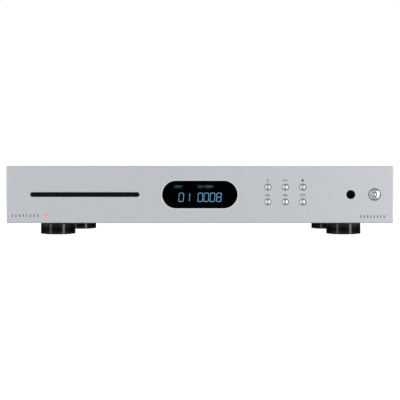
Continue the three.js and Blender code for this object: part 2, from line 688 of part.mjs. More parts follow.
const ARM_X = DISC_RADIUS + 4; // inner face of the arm's side plates
const ARM_THICK = 1.5;
const GEAR_X = ARM_X + ARM_THICK + 0.7;
const GEAR_WIDTH = 4;
const PULLEY_X = GEAR_X + GEAR_WIDTH;
const PULLEY_WIDTH = 3.4;
const LOADING_MOTOR = { y: ROLLER_Y - 3, z: LOADER_FLOOR + 5 + FIT_GAP, radius: 5 };
const pivot = new THREE.Vector2(PIVOT_Y, PIVOT_Z);
const rollerAxis = new THREE.Vector2(ROLLER_Y, ROLLER_Z);
const MESH_ANGLE = Math.atan2(PIVOT_Z - ROLLER_Z, PIVOT_Y - ROLLER_Y);

// The rocking arm: two side links joined by a cross bar, holed for the roller's shaft and the pivot rod.
function rollerArm() {
  const outline = linkOutline(pivot, 4, rollerAxis, 4, 6);
  const hole = (at) => circle(at.x, at.y, SHAFT_RADIUS + RUN_GAP, 12);
  const link = (start) => slab("x", start, ARM_THICK, outline, hole(pivot), hole(rollerAxis));
  const reach = ARM_X + 0.5;
  const cross = block([-reach, PIVOT_Y - 8, PIVOT_Z - 1.5], [reach, PIVOT_Y - 4.5, PIVOT_Z + 0.5]);
  return join(link(ARM_X), link(-ARM_X - ARM_THICK), cross);
}

// The rubber sleeve, waisted so that it touches only the disc's edges.
function feedRollerRubber() {
  const bore = SHAFT_RADIUS + FIT_GAP;
  const half = DISC_RADIUS + 0.5;
  return turned("x", [
    [bore, -half],
    [ROLLER_RADIUS, -half],
    [ROLLER_RADIUS, -half + 12],
    [ROLLER_RADIUS - 1, 0],
    [ROLLER_RADIUS, half - 12],
    [ROLLER_RADIUS, half],
    [bore, half],
  ], 20);
}

// A gear in the y-z plane with a clearance bore, turned so that one tooth points along an angle.
function spurGear(teeth, start, width, angle) {
  const outline = gearOutline(teeth, GEAR_MODULE).map((p) => p.rotateAround(new THREE.Vector2(), angle));
  return slab("x", start, width, outline, circle(0, 0, SHAFT_RADIUS + FIT_GAP, 12));
}

// A flanged pulley whose groove holds the belt.
function pulley(radius, bore) {
  const flange = 0.7;
  const lip = radius + 1;
  return turned("x", [
    [bore, PULLEY_X - 0.2],
    [lip, PULLEY_X - 0.2],
    [lip, PULLEY_X + flange],
    [radius, PULLEY_X + flange],
    [radius, PULLEY_X + PULLEY_WIDTH - flange],
    [lip, PULLEY_X + PULLEY_WIDTH - flange],
    [lip, PULLEY_X + PULLEY_WIDTH],
    [bore, PULLEY_X + PULLEY_WIDTH],
  ], 20);
}

// The idler turns on the pivot rod: a gear for the roller and a pulley for the belt, moulded together.
function idlerGear() {
  const gear = spurGear(IDLER_TEETH, GEAR_X, GEAR_WIDTH, MESH_ANGLE + Math.PI + Math.PI / IDLER_TEETH);
  return join(gear, pulley(PULLEY_RADIUS, SHAFT_RADIUS + FIT_GAP));
}

// The belt lies a running gap clear of both grooves.
function driveBelt() {
  const motor = new THREE.Vector2(LOADING_MOTOR.y, LOADING_MOTOR.z);
  const loop = (extra) =>
    linkOutline(pivot, PULLEY_RADIUS + extra, motor, MOTOR_PULLEY_RADIUS + extra, 12);
  const width = PULLEY_WIDTH - 1.4 - RUN_GAP;
  const start = PULLEY_X + (PULLEY_WIDTH - width) / 2;
  return slab("x", start, width, loop(RUN_GAP + BELT), loop(RUN_GAP));
}

const LOADING_MOTOR_END = ARM_X - 3;

function loadingMotor() {
  const length = 22;
  return join(
    bar("x", LOADING_MOTOR.radius, LOADING_MOTOR_END - length, LOADING_MOTOR_END, 0, 20),
    bar("x", 1.6, LOADING_MOTOR_END - 1, LOADING_MOTOR_END + 1.5, 0, 12),
  );
}

function motorPulley() {
  return join(
    pulley(MOTOR_PULLEY_RADIUS, 0.8),
    bar("x", 0.9, LOADING_MOTOR_END + 1.5 + FIT_GAP, PULLEY_X + PULLEY_WIDTH, 0, 10),
  );
}

// ---------------------------------------------------------------- traverse deck

const TAB_Y = SPINDLE_Y + 12.6; // cross tab that holds the guide rods and the sled motor
const DECK_REAR = LOADER_REAR - 4;
const ROD_X = 13;
const SCREW_X = 21.5;
const SCREW_Z = DECK_UNDER - 5.7;
const SCREW_RADIUS = 1.9;
const SLED_FRONT = SPINDLE_Y + LENS_RADIUS_IN - 10;
const SLED_LENGTH = 23;
const SLED_HALF = 17;
const SLED_TOP = DECK_TOP + 0.7;

// The deck that lifts the turntable and pickup to the disc: a plate, skirts, a cross tab and cam pins.
function traverseDeck() {
  const sledRoom = SLED_LENGTH + SLED_TRAVEL + 2;
  const plate = slab(
    "z",
    DECK_UNDER,
    SHEET,
    roundedRect(0, (DECK_FRONT + DECK_REAR) / 2, 2 * DECK_HALF, DECK_REAR - DECK_FRONT),
    circle(0, SPINDLE_Y, 5.2, 16),
    roundedRect(0, SLED_FRONT - 1 + sledRoom / 2, 2 * SLED_HALF + 4, sledRoom),
  );
  const skirtBottom = DECK_UNDER - 6.6;
  const skirtTop = DECK_UNDER + 0.5;
  const skirt = (x) => block([x, DECK_FRONT, skirtBottom], [x + SHEET, DECK_REAR, skirtTop]);
  const rear = block([-DECK_HALF, DECK_REAR - SHEET, skirtBottom], [DECK_HALF, DECK_REAR, skirtTop]);
  const tab = slab(
    "y",
    TAB_Y,
    SHEET,
    roundedRect(5.5, DECK_UNDER - 5.5, 45, 12),
    circle(SCREW_X, SCREW_Z, SCREW_RADIUS + RUN_GAP, 12),
  );
  const pins = PIN_YS.flatMap((y) => [
    bar("x", SHAFT_RADIUS, DECK_HALF - 0.5, GUIDE_X + SHEET + 1, 0, 12).translate([0, y, PIN_Z]),
    bar("x", SHAFT_RADIUS, -GUIDE_X - SHEET - 1, -DECK_HALF + 0.5, 0, 12).translate([0, y, PIN_Z]),
  ]);
  return join(plate, skirt(-DECK_HALF), skirt(DECK_HALF - SHEET), rear, tab, ...pins);
}

// The sliding cam: two side plates with rising slots for the deck's pins, joined by two cross bars.
function camFrame() {
  const bottom = LOADER_FLOOR + RUN_GAP;
  const top = PIN_Z + DECK_LIFT + SHAFT_RADIUS + 2.5;
  const [front, rear] = [PIN_YS[0] - CAM_TRAVEL - 5, PIN_YS[1] + 5];
  const outline = roundedRect((front + rear) / 2, (bottom + top) / 2, rear - front, top - bottom);
  const width = SHAFT_RADIUS + RUN_GAP + 0.1;
  const slots = PIN_YS.map((y) => {
    const low = new THREE.Vector2(y, PIN_Z);
    const high = new THREE.Vector2(y - CAM_TRAVEL, PIN_Z + DECK_LIFT);
    return linkOutline(low, width, high, width, 6);
  });
  const side = (start) => slab("x", start, CAM_THICK, outline, ...slots);
  const cross = (y) => block([-CAM_X - 0.5, y, bottom], [CAM_X + 0.5, y + 6, bottom + 1.6]);
  return join(side(CAM_X), side(-CAM_X - CAM_THICK), cross(front), cross(rear - 6));
}

// The turntable: platter, centring cone and the hub that drops over the motor's shaft.
function turntable() {
  const hubBottom = DECK_UNDER - 0.2 + FIT_GAP;
  return turned("z", [
    [0, PLATTER_REST + CONE_HEIGHT - 0.05],
    [6.2, PLATTER_REST + CONE_HEIGHT - 0.05],
    [7.4, PLATTER_REST],
    [PLATTER_RADIUS, PLATTER_REST],
    [PLATTER_RADIUS, PLATTER_REST - 1.8],
    [4.4, PLATTER_REST - 1.8],
    [4.4, hubBottom],
    [0, hubBottom],
  ]);
}

function spindleMotor() {
  const top = DECK_UNDER - FIT_GAP;
  return turned("z", [[0, top], [11, top], [11, top - 7.5], [9.5, top - 9], [0, top - 9]]);
}

// The pickup sled, bored for the two guide rods, with an ear that rides on the lead screw.
function pickupSled() {
  const [front, rear] = [SLED_FRONT, SLED_FRONT + SLED_LENGTH];
  const bottom = DECK_UNDER - 7;
  const rodZ = DECK_UNDER - 3.6;
  const body = slab(
    "y",
    front,
    rear - front,
    roundedRect(0, (bottom + SLED_TOP) / 2, 2 * SLED_HALF, SLED_TOP - bottom, 1.5, 2),
    circle(ROD_X, rodZ, SHAFT_RADIUS + FIT_GAP, 12),
    circle(-ROD_X, rodZ, SHAFT_RADIUS + FIT_GAP, 12),
  );
  const [inner, outer] = [SLED_HALF - 0.5, SCREW_X + SCREW_RADIUS + 2];
  const ear = slab(
    "y",
    front + 7,
    8,
    roundedRect((inner + outer) / 2, SCREW_Z, outer - inner, 8),
    circle(SCREW_X, SCREW_Z, SCREW_RADIUS + FIT_GAP, 12),
  );
  return join(body, ear);
}

// The lead screw: a twisted oval bar makes its two-start thread, with plain ends.
function leadScrew() {
  const lead = 6;
  const [from, to] = [TAB_Y - FIT_GAP + SHEET + 0.6, DECK_REAR - SHEET - FIT_GAP];
  const steps = Math.round(((to - from) / lead) * 5);
  const oval = circle(0, 0, SCREW_RADIUS, 6).map((p) => new THREE.Vector2(p.x, p.y * 0.72));
  const options = { depth: to - from, steps, bevelEnabled: false };
  const geometry = new THREE.ExtrudeGeometry(new THREE.Shape(oval), options);
  const place = geometry.getAttribute("position");
  const point = new THREE.Vector3();
  for (let i = 0; i < place.count; i++) {
    point.fromBufferAttribute(place, i);
    point.applyAxisAngle(Z, (2 * Math.PI * point.z) / lead);
    place.setXYZ(i, point.x, point.y, point.z);
  }
  geometry.rotateX(Math.PI / 2).translate(0, to, 0);
  const journal = bar("y", SCREW_RADIUS * 0.72, TAB_Y - FIT_GAP, from + 0.5, 0, 12);
  return join(solid(geometry), journal);
}

function sledMotor() {
  const back = TAB_Y - FIT_GAP - 0.2;
  return bar("y", 5.5, back - 13, back, 0, 20);
}

// ---------------------------------------------------------------- main board and transformer

function mainBoardHoles() {
  const [x, y] = [MAIN_BOARD_WIDTH / 2 - 5, MAIN_BOARD_LENGTH / 2 - 5];
  return [[-x, -y], [x, -y], [-x, y], [x, y]].map(([dx, dy]) => [MAIN_BOARD_X + dx, MAIN_BOARD_Y + dy]);
}
const MAIN_BOARD_Y = REAR_INNER - 6 - MAIN_BOARD_LENGTH / 2;

// The main circuit board with its larger parts: two chips, a shielded module, a connector and capacitors.
function mainBoard() {
  const board = slab("z", 0, BOARD_THICK, roundedRect(0, 0, MAIN_BOARD_WIDTH, MAIN_BOARD_LENGTH, 2, 2));
  const sunk = BOARD_THICK - 0.3;
  const part = (x, y, width, length, height) => {
    const [halfWidth, halfLength] = [width / 2, length / 2];
    const box = block([-halfWidth, -halfLength, sunk], [halfWidth, halfLength, BOARD_THICK + height]);
    return box.translate([x, y, 0]);
  };
  const capacitor = (x, y) => bar("z", 6.5, sunk, BOARD_THICK + 20, 0, 14).translate([x, y, 0]);
  return join(
    board,
    part(-30, -20, 24, 24, 2),
    part(-28, 22, 16, 10, 1.6),
    part(14, 10, 30, 22, 5),
    part(-56, -48, 6, 30, 5),
    ...[-55, -40].flatMap((y) => [38, 55].map((x) => capacitor(x, y))),
  );
}

// The flat cable from the front board to the main board, lying on the floor between them.
function frontRibbon() {
  const thick = 0.5;
  const front = FRONT_BOARD_Y + BOARD_THICK + FIT_GAP;
  const back = MAIN_BOARD_Y - MAIN_BOARD_LENGTH / 2 - FIT_GAP;
  const low = FLOOR_TOP + 1;
  const high = MAIN_BOARD_TOP - 0.2;
  const route = [
    [front, high + 6],
    [front + 6, high + 6],
    [front + 14, low],
    [back - 14, low],
    [back - 5, high],
    [back, high],
  ];
  const points = [...route, ...route.toReversed().map(([y, z]) => [y, z - thick])];
  return slab("x", MAIN_BOARD_X - 40, 26, points.map(([y, z]) => new THREE.Vector2(y, z)));
}

// The toroidal mains transformer.
function transformer() {
  const [outer, inner, height] = [TRANSFORMER_RADIUS, 12, TRANSFORMER_HEIGHT];
  const round = 6;
  const bend = (r, z, from) =>
    [from, from + 45, from + 90].map((angle) => onCircle(r, z, round, rad(angle)).toArray());
  return turned("z", [
    ...bend(outer - round, height - round, 0),
    ...bend(inner + round, height - round, 90),
    ...bend(inner + round, round, 180),
    ...bend(outer - round, round, 270),
  ], 28);
}

// Its dished clamp plate, with the bolt's head pressed in the middle and the shank running down the hole.
function transformerClamp() {
  return turned("z", [
    [0, 4.5],
    [5, 4.5],
    [5, 1.4],
    [12, 1.4],
    [24, 3],
    [25, 2],
    [12, 0.2],
    [3, 0.2],
    [3, -TRANSFORMER_HEIGHT - 0.5],
    [0, -TRANSFORMER_HEIGHT - 0.5],
  ]);
}

// ---------------------------------------------------------------- rear connectors

const INLET_BODY = [27.6, 20];
const SWITCH_BODY = [13, 19.4];
const COAX_RADIUS = 4.15;
const COAX_X = MAIN_BOARD_X - 40;
const OPTICAL_X = MAIN_BOARD_X - 18;
const OPTICAL_SIZE = 10;
const OPTICAL_MOUTH = 6.8;
const TRIGGER_XS = [MAIN_BOARD_X + 12, MAIN_BOARD_X + 28];
const TRIGGER_RADIUS = 3.4;

// The mains inlet: flange, body and the keyed cavity with its three blades.
function iecInlet() {
  const [width, height] = INLET_BODY;
  const [deep, floor] = [22, 4];
  const cavity = [24.2, 16.6];
  const key = 4;
  const [cw, ch] = [cavity[0] / 2, cavity[1] / 2];
  const outline = [
    [-cw, -ch],
    [cw, -ch],
    [cw, ch - key],
    [cw - key, ch],
    [-cw + key, ch],
    [-cw, ch - key],
  ];
  const blade = (x, z) => block([x - 1, floor - deep - 0.5, z - 2], [x + 1, -1.5, z + 2]);
  const flange = slab("y", FIT_GAP, 2, roundedRect(0, 0, width + 5, height + 5, 2, 2));
  const body = block([-width / 2, -deep, -height / 2], [width / 2, FIT_GAP + 0.5, height / 2]);
  const hollow = slab("y", floor - deep, deep, outline.map(([x, z]) => new THREE.Vector2(x, z)));
  return join(cut(join(flange, body), hollow), blade(0, 2), blade(-7, -2), blade(7, -2));
}

const ROCKER_TILT = 8;
const SWITCH_WALL = 1.2;

// The rocker switch's housing: a flange and a hollow body.
function switchHousing() {
  const [width, height] = SWITCH_BODY;
  const flange = slab("y", FIT_GAP, 1.6, roundedRect(0, 0, width + 3, height + 3, 1, 2));
  const body = block([-width / 2, -15, -height / 2], [width / 2, FIT_GAP + 0.5, height / 2]);
  const [inX, inZ] = [width / 2 - SWITCH_WALL, height / 2 - SWITCH_WALL];
  return cut(join(flange, body), block([-inX, -9, -inZ], [inX, 3, inZ]));
}

// The rocker, built level about its pivot: a shallow valley between two raised ends.
function mainsRocker() {
  const half = SWITCH_BODY[0] / 2 - SWITCH_WALL - RUN_GAP;
  const end = SWITCH_BODY[1] / 2 - SWITCH_WALL - 0.5;
  const points = [[-4, -end + 2], [2.5, -end], [1.6, 0], [2.5, end], [-4, end - 2]];
  return slab("x", -half, 2 * half, points.map(([y, z]) => new THREE.Vector2(y, z)));
}

// The coaxial socket: a plated barrel and collar, and a block that stands on the main board.
function coaxSocket() {
  const barrel = turned("y", [
    [1.7, SOCKET_REACH],
    [COAX_RADIUS, SOCKET_REACH],
    [COAX_RADIUS, FIT_GAP + 1.4],
    [COAX_RADIUS + 2, FIT_GAP + 1.4],
    [COAX_RADIUS + 2, FIT_GAP],
    [COAX_RADIUS, FIT_GAP],
    [COAX_RADIUS, -SHEET - 1],
    [0, -SHEET - 1],
    [0, 1],
    [1.7, 1],
  ], 20);
  const foot = -SOCKET_RISE + FIT_GAP;
  return join(barrel, block([-5, -SHEET - 12, foot], [5, -SHEET - FIT_GAP, 5.5]));
}

// The optical socket: a square mouth that its sprung door closes.
function opticalSocket() {
  const half = OPTICAL_SIZE / 2;
  const body = block([-half, -SHEET - 12, -SOCKET_RISE + FIT_GAP], [half, -SHEET - FIT_GAP, half]);
  const mouth = block([-half, -SHEET - 1, -half], [half, 1, half]);
  const opening = OPTICAL_MOUTH / 2;
  return cut(join(body, mouth), block([-opening, -10, -opening], [opening, 2, opening]));
}
const DOOR_THICK = 0.8;
const DOOR_TOP = 0.3; // door's upper edge above its pivot

function opticalDoor() {
  const half = OPTICAL_MOUTH / 2 - RUN_GAP;
  return block([-half, -DOOR_THICK / 2, DOOR_TOP - 2 * half], [half, DOOR_THICK / 2, DOOR_TOP]);
}

// The pair of trigger jacks in one moulded block.
function triggerJacks() {
  const half = (TRIGGER_XS[1] - TRIGGER_XS[0]) / 2;
  const body = block([-half - 5, -SHEET - 13, -SOCKET_RISE + FIT_GAP], [half + 5, -SHEET - FIT_GAP, 5]);
  const jack = (x) => bar("y", TRIGGER_RADIUS, -SHEET - 1, 2.2, 0, 16).translate([x, 0, 0]);
  const hole = (x) => bar("y", 1.8, -SHEET - 11, 3, 0, 12).translate([x, 0, 0]);
  return cut(join(body, jack(-half), jack(half)), hole(-half), hole(half));
}

// ---------------------------------------------------------------- assembly

const housing = new THREE.Group();
player.add(housing);
piece(housing, "front_panel", "fascia_aluminium", frontPanel());
piece(housing, "top_cover", "case_paint", topCover());
piece(housing, "bottom_chassis", "zinc_steel", bottomChassis());
piece(housing, "rear_panel", "case_paint", rearPanel());
footPlaces().forEach(([x, y], i) => {
  piece(housing, `foot_${FOOT_NAMES[i]}`, "foot_plastic", footShell(), [x, y, 0]);
  piece(housing, `foot_pad_${FOOT_NAMES[i]}`, "foot_rubber", footPad(), [x, y, 0]);
});

const controls = new THREE.Group();
controls.position.z = FASCIA_MID_Z;
player.add(controls);
piece(controls, "display_window", "smoked_lens", displayWindow());
piece(controls, "display_module", "display_glass", displayModule());
piece(controls, "ir_window", "smoked_lens", irWindow(), [IR_X, 0, 0]);
piece(controls, "power_button", "button_metal", powerButton(), [POWER_X, 0, 0]);
for (const { name, x, z } of BUTTONS)
  piece(controls, name, "button_metal", transportButton(), [x, 0, z - FASCIA_MID_Z]);
piece(controls, "standby_led", "led_amber", standbyLed(), [LED_X, 0, LED_Z - FASCIA_MID_Z]);
piece(controls, "slot_felt", "felt", slotFelt(), [SLOT_X, 0, 0]);
piece(controls, "slot_bezel", "black_plastic", slotBezel(), [SLOT_X, 0, 0]);
piece(player, "front_board", "circuit_board", frontBoard());

const loader = new THREE.Group();
loader.position.set(SLOT_X, 0, FASCIA_MID_Z);
player.add(loader);
piece(loader, "loader_frame", "zinc_steel", loaderFrame());
piece(loader, "loader_bridge", "zinc_steel", loaderBridge());
piece(loader, "disc_guide", "black_plastic", discGuide());
piece(loader, "clamp_puck", "black_plastic", clampPuck(), [0, SPINDLE_Y, 0]);
piece(loader, "cam_frame", "white_plastic", camFrame());
piece(loader, "loading_motor", "zinc_steel", loadingMotor(), [0, LOADING_MOTOR.y, LOADING_MOTOR.z]);
piece(loader, "motor_pulley", "white_plastic", motorPulley(), [0, LOADING_MOTOR.y, LOADING_MOTOR.z]);
piece(loader, "drive_belt", "roller_rubber", driveBelt());
const rodEnd = LOADER_HALF + 1;
const pivotRod = bar("x", SHAFT_RADIUS, -rodEnd, rodEnd);
piece(loader, "arm_pivot_rod", "steel_rod", pivotRod, [0, PIVOT_Y, PIVOT_Z]);

const arm = new THREE.Group();
loader.add(arm);
piece(arm, "roller_arm", "zinc_steel", rollerArm());
const shaft = bar("x", SHAFT_RADIUS, -ARM_X - ARM_THICK - 1, GEAR_X + GEAR_WIDTH);
piece(arm, "feed_roller_shaft", "steel_rod", shaft, [0, ROLLER_Y, ROLLER_Z]);
piece(arm, "feed_roller_rubber", "roller_rubber", feedRollerRubber(), [0, ROLLER_Y, ROLLER_Z]);
const rollerGear = spurGear(ROLLER_TEETH, GEAR_X, GEAR_WIDTH, MESH_ANGLE);
piece(arm, "roller_gear", "white_plastic", rollerGear, [0, ROLLER_Y, ROLLER_Z]);
piece(arm, "idler_gear", "white_plastic", idlerGear(), [0, PIVOT_Y, PIVOT_Z]);

const deck = new THREE.Group();
loader.add(deck);
piece(deck, "traverse_deck", "black_plastic", traverseDeck());
piece(deck, "turntable", "black_plastic", turntable(), [0, SPINDLE_Y, 0]);
piece(deck, "spindle_motor", "zinc_steel", spindleMotor(), [0, SPINDLE_Y, 0]);
piece(deck, "sled_motor", "zinc_steel", sledMotor(), [SCREW_X, 0, SCREW_Z]);
piece(deck, "lead_screw", "steel_rod", leadScrew(), [SCREW_X, 0, SCREW_Z]);
piece(deck, "pickup_sled", "zinc_steel", pickupSled());
const lens = turned("z", [[0, 2.1], [2.4, 1.9], [3.2, 1.2], [3.2, 0], [0, 0]], 16);
piece(deck, "objective_lens", "lens_glass", lens, [0, SPINDLE_Y + LENS_RADIUS_IN, SLED_TOP + FIT_GAP]);
const rod = bar("y", SHAFT_RADIUS, TAB_Y + SHEET + FIT_GAP, DECK_REAR - SHEET - FIT_GAP, 0, 12);
for (const [side, name] of [[-1, "left"], [1, "right"]])
  piece(deck, `guide_rod_${name}`, "steel_rod", rod, [side * ROD_X, 0, DECK_UNDER - 3.6]);

const electronics = new THREE.Group();
player.add(electronics);
const boardPlace = [MAIN_BOARD_X, MAIN_BOARD_Y, MAIN_BOARD_Z];
piece(electronics, "main_board", "circuit_board", mainBoard(), boardPlace);
piece(electronics, "front_ribbon_cable", "white_plastic", frontRibbon());
const windings = new THREE.Group();
windings.position.set(TRANSFORMER_X, TRANSFORMER_Y, FLOOR_TOP + 1.2);
electronics.add(windings);
piece(windings, "transformer", "winding", transformer());
piece(windings, "transformer_clamp", "zinc_steel", transformerClamp(), [0, 0, TRANSFORMER_HEIGHT]);

const connectors = new THREE.Group();
connectors.position.y = CASE_DEPTH;
player.add(connectors);
piece(connectors, "mains_inlet", "black_plastic", iecInlet(), [INLET_X, 0, FASCIA_MID_Z]);
piece(connectors, "mains_switch_housing", "black_plastic", switchHousing(), [SWITCH_X, 0, FASCIA_MID_Z]);
const rockerPlace = [SWITCH_X, 0, FASCIA_MID_Z];
const rocker = piece(connectors, "mains_rocker", "black_plastic", mainsRocker(), rockerPlace);
rocker.rotation.x = rad(ROCKER_TILT);
piece(connectors, "coaxial_socket", "brass", coaxSocket(), [COAX_X, 0, SOCKET_Z]);
piece(connectors, "optical_socket", "black_plastic", opticalSocket(), [OPTICAL_X, 0, SOCKET_Z]);
const doorPivot = SOCKET_Z + OPTICAL_MOUTH / 2 - RUN_GAP - DOOR_TOP;
piece(connectors, "optical_door", "black_plastic", opticalDoor(), [OPTICAL_X, -0.6, doorPivot]);
const triggerX = (TRIGGER_XS[0] + TRIGGER_XS[1]) / 2;
piece(connectors, "trigger_jacks", "black_plastic", triggerJacks(), [triggerX, 0, SOCKET_Z]);

// The player's own origin: on the floor, under the middle of its whole footprint.
player.position.y = -(CASE_DEPTH + SOCKET_REACH - POWER_PROUD) / 2;

export default player;
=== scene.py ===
"""Looks of the slot-loading disc player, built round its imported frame.

Shapes are worked out in millimetres in the row frame: x to the right of the fascia, y to the rear,
z up.
"""

import math

import bmesh
import bpy
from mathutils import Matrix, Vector


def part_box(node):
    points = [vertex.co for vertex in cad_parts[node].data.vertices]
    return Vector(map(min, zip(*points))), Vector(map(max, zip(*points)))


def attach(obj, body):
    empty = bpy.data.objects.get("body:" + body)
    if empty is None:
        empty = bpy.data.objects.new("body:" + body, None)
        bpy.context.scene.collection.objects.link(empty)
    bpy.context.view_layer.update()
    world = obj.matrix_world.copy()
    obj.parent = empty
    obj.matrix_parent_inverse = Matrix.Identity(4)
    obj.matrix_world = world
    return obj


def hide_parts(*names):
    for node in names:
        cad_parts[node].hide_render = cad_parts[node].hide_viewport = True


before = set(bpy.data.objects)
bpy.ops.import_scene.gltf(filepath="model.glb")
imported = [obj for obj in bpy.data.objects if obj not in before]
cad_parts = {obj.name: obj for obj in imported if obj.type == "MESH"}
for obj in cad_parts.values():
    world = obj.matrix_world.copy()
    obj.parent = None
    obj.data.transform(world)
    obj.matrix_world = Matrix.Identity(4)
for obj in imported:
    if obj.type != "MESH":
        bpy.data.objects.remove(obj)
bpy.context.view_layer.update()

MM = 0.001
CASE = "player_case"
MERGE = 0.0005  # vertices closer than this become one
SHARP = math.radians(35)  # a fold steeper than this keeps a hard edge in its shading


# ---------------------------------------------------------------- places taken from the frame


class Span:
    """A CAD node's box in millimetres."""

    def __init__(self, node):
        low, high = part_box(node)
        self.low = low / MM
        self.high = high / MM
        self.mid = (self.low + self.high) / 2
        self.size = self.high - self.low
        self.face = (self.mid.x, self.mid.z)  # its middle seen from the front


FIT_GAP = 0.2  # air between the CAD's resting pieces
PANEL = Span("front_panel")
FRONT = PANEL.low.y
COVER = Span("top_cover")
CHASSIS = Span("bottom_chassis")
REAR = Span("rear_panel")
WINDOW = Span("display_window")
WINDOW_FLANGE = 3
WINDOW_SIZE = (
    WINDOW.size.x - 2 * WINDOW_FLANGE + 2 * FIT_GAP,
    WINDOW.size.z - 2 * WINDOW_FLANGE + 2 * FIT_GAP,
)
FELT = Span("slot_felt")
FELT_MARGIN = 4
SLOT_SIZE = (FELT.size.x - 2 * FELT_MARGIN, FELT.size.z - 2 * FELT_MARGIN)
POWER = Span("power_button")
POWER_FLANGE = 2.2
POWER_RADIUS = POWER.size.x / 2 - POWER_FLANGE
POWER_RING = 1.0
IR = Span("ir_window")
IR_FLANGE = 1.6
IR_RADIUS = IR.size.x / 2 - IR_FLANGE
LED = Span("standby_led")
LED_FLANGE = 0.8
LED_RADIUS = LED.size.x / 2 - LED_FLANGE
KEYS = {
    name + "_button": name + "_key"
    for name in ("eject", "play_pause", "stop", "previous", "next", "repeat")
}
KEY_SPANS = {node: Span(node) for node in KEYS}
KEY_FLANGE = 1.2
KEY_RADIUS = KEY_SPANS["eject_button"].size.x / 2 - KEY_FLANGE
KEY_RING = 0.45
FEET = ["front_left", "front_right", "rear_left", "rear_right"]


# ---------------------------------------------------------------- outlines


def arc(centre, radius, start, end, steps):
    """Points along a circle between two angles in degrees, both ends included."""
    points = []
    for i in range(steps + 1):
        angle = math.radians(start + (end - start) * i / steps)
        points.append(
            (centre[0] + radius * math.cos(angle), centre[1] + radius * math.sin(angle))
        )
    return points


def round_rect(centre, size, radius, steps=8):
    """A loop with round corners; calling the result with a distance grows it by that much."""

    def loop(grow=0.0):
        half = (size[0] / 2 + grow, size[1] / 2 + grow)
        corner = min(max(radius + grow, 0.01), half[1])
        points = []
        for quarter, (right, up) in enumerate(((1, 1), (-1, 1), (-1, -1), (1, -1))):
            middle = (
                centre[0] + right * (half[0] - corner),
                centre[1] + up * (half[1] - corner),
            )
            points += arc(middle, corner, 90 * quarter, 90 * quarter + 90, steps)
        return points

    return loop


def circle(centre, radius, steps=64):
    """A round loop that can be grown like round_rect's."""

    def loop(grow=0.0):
        return arc(centre, radius + grow, 0, 360 - 360 / steps, steps - 1)

    return loop


def soften(points, steps=4):
    """Rounds the corners of an open profile. A point's third value is its corner's reach."""
    result = []
    for i, (x, y, *reach) in enumerate(points):
        if not reach or i in (0, len(points) - 1):
            result.append((x, y))
            continue
        corner = Vector((x, y))
        back = Vector(points[i - 1][:2]) - corner
        ahead = Vector(points[i + 1][:2]) - corner
        start = corner + back.normalized() * min(reach[0], back.length / 2)
        end = corner + ahead.normalized() * min(reach[0], ahead.length / 2)
        for k in range(steps + 1):
            t = k / steps
            point = (1 - t) ** 2 * start + 2 * t * (1 - t) * corner + t * t * end
            result.append(tuple(point))
    return result


# ---------------------------------------------------------------- meshes


def add_ring(bm, points):
    return [bm.verts.new(p) for p in points]


def bridge(bm, near, far):
    """Faces between two closed rings of equal length, or between a ring and a single point."""
    count = max(len(near), len(far))
    for i in range(count):
        j = (i + 1) % count
        if len(near) == 1:
            bm.faces.new((near[0], far[j], far[i]))
        elif len(far) == 1:
            bm.faces.new((near[i], near[j], far[0]))
        else:
            bm.faces.new((near[i], near[j], far[j], far[i]))


def lathe(bm, profile, centre, axis="y", segments=64):
    """Turns a profile of (radius, along) round an axis; a profile off the axis closes on itself."""
    rings = []
    for radius, along in profile:
        turned = [(0.0, 0.0)] if radius == 0 else circle((0, 0), radius, segments)()
        points = []
        for u, v in turned:
            local = {"y": (u, along, v), "z": (u, v, along), "x": (along, u, v)}[axis]
            points.append(Vector(centre) + Vector(local))
        rings.append(add_ring(bm, points))
    for near, far in zip(rings, rings[1:]):
        if len(near) > 1 or len(far) > 1:
            bridge(bm, near, far)
    if len(rings[0]) > 1 and len(rings[-1]) > 1:
        bridge(bm, rings[-1], rings[0])
    return bm


class Rim:
    """One edge loop of a flat part: its outline or a hole, with its front and rear edge sizes."""

    def __init__(self, loop, hole=False, front=0.0, back=0.0, steps=4, sink=1.0):
        self.loop = loop
        self.side = 1 if hole else -1
        self.front = front
        self.back = back
        self.steps = steps
        self.sink = sink  # the front edge's depth as a share of its width

    def rings(self, front, back):
        """(points, depth) from the front face to the rear face, round the two edges."""
        places = []
        for i in range(self.steps + 1):
            turn = math.radians(90 * i / self.steps)
            places.append(
                (
                    self.front * (1 - math.sin(turn)),
                    front + self.sink * self.front * (1 - math.cos(turn)),
                )
            )
        for i in range(self.steps + 1):
            turn = math.radians(90 * i / self.steps)
            places.append(
                (self.back * (1 - math.cos(turn)), back - self.back * (1 - math.sin(turn)))
            )
        return [(self.loop(self.side * grow), depth) for grow, depth in places]


def plate(bm, rims, front, back, flat=False):
    """A sheet between two planes with worked edges: upright across y, or lying flat across z."""
    added = []
    for rim in rims:
        rings = []
        for points, depth in rim.rings(front, back):
            if flat:
                places = [(u, v, depth) for u, v in points]
            else:
                places = [(u, depth, v) for u, v in points]
            rings.append(add_ring(bm, places))
        for near, far in zip(rings, rings[1:]):
            bridge(bm, near, far)
        added += [v for ring in rings for v in ring]
    bmesh.ops.remove_doubles(bm, verts=added, dist=MERGE)
    rims_open = [e for e in bm.edges if e.is_boundary]
    for edge in rims_open:
        edge.smooth = False
    coordinate = 2 if flat else 1
    middle = (front + back) / 2
    near = [e for e in rims_open if e.verts[0].co[coordinate] < middle]
    far = [e for e in rims_open if e.verts[0].co[coordinate] > middle]
    for edges in (near, far):
        bmesh.ops.triangle_fill(bm, edges=edges, use_beauty=True)
    return bm


def prism(bm, outline, front, back):
    """A flat shape with square edges, seen from the front."""
    near = add_ring(bm, [(x, front, z) for x, z in outline])
    far = add_ring(bm, [(x, back, z) for x, z in outline])
    bridge(bm, near, far)
    bm.faces.new(near)
    bm.faces.new(far)
    return bm


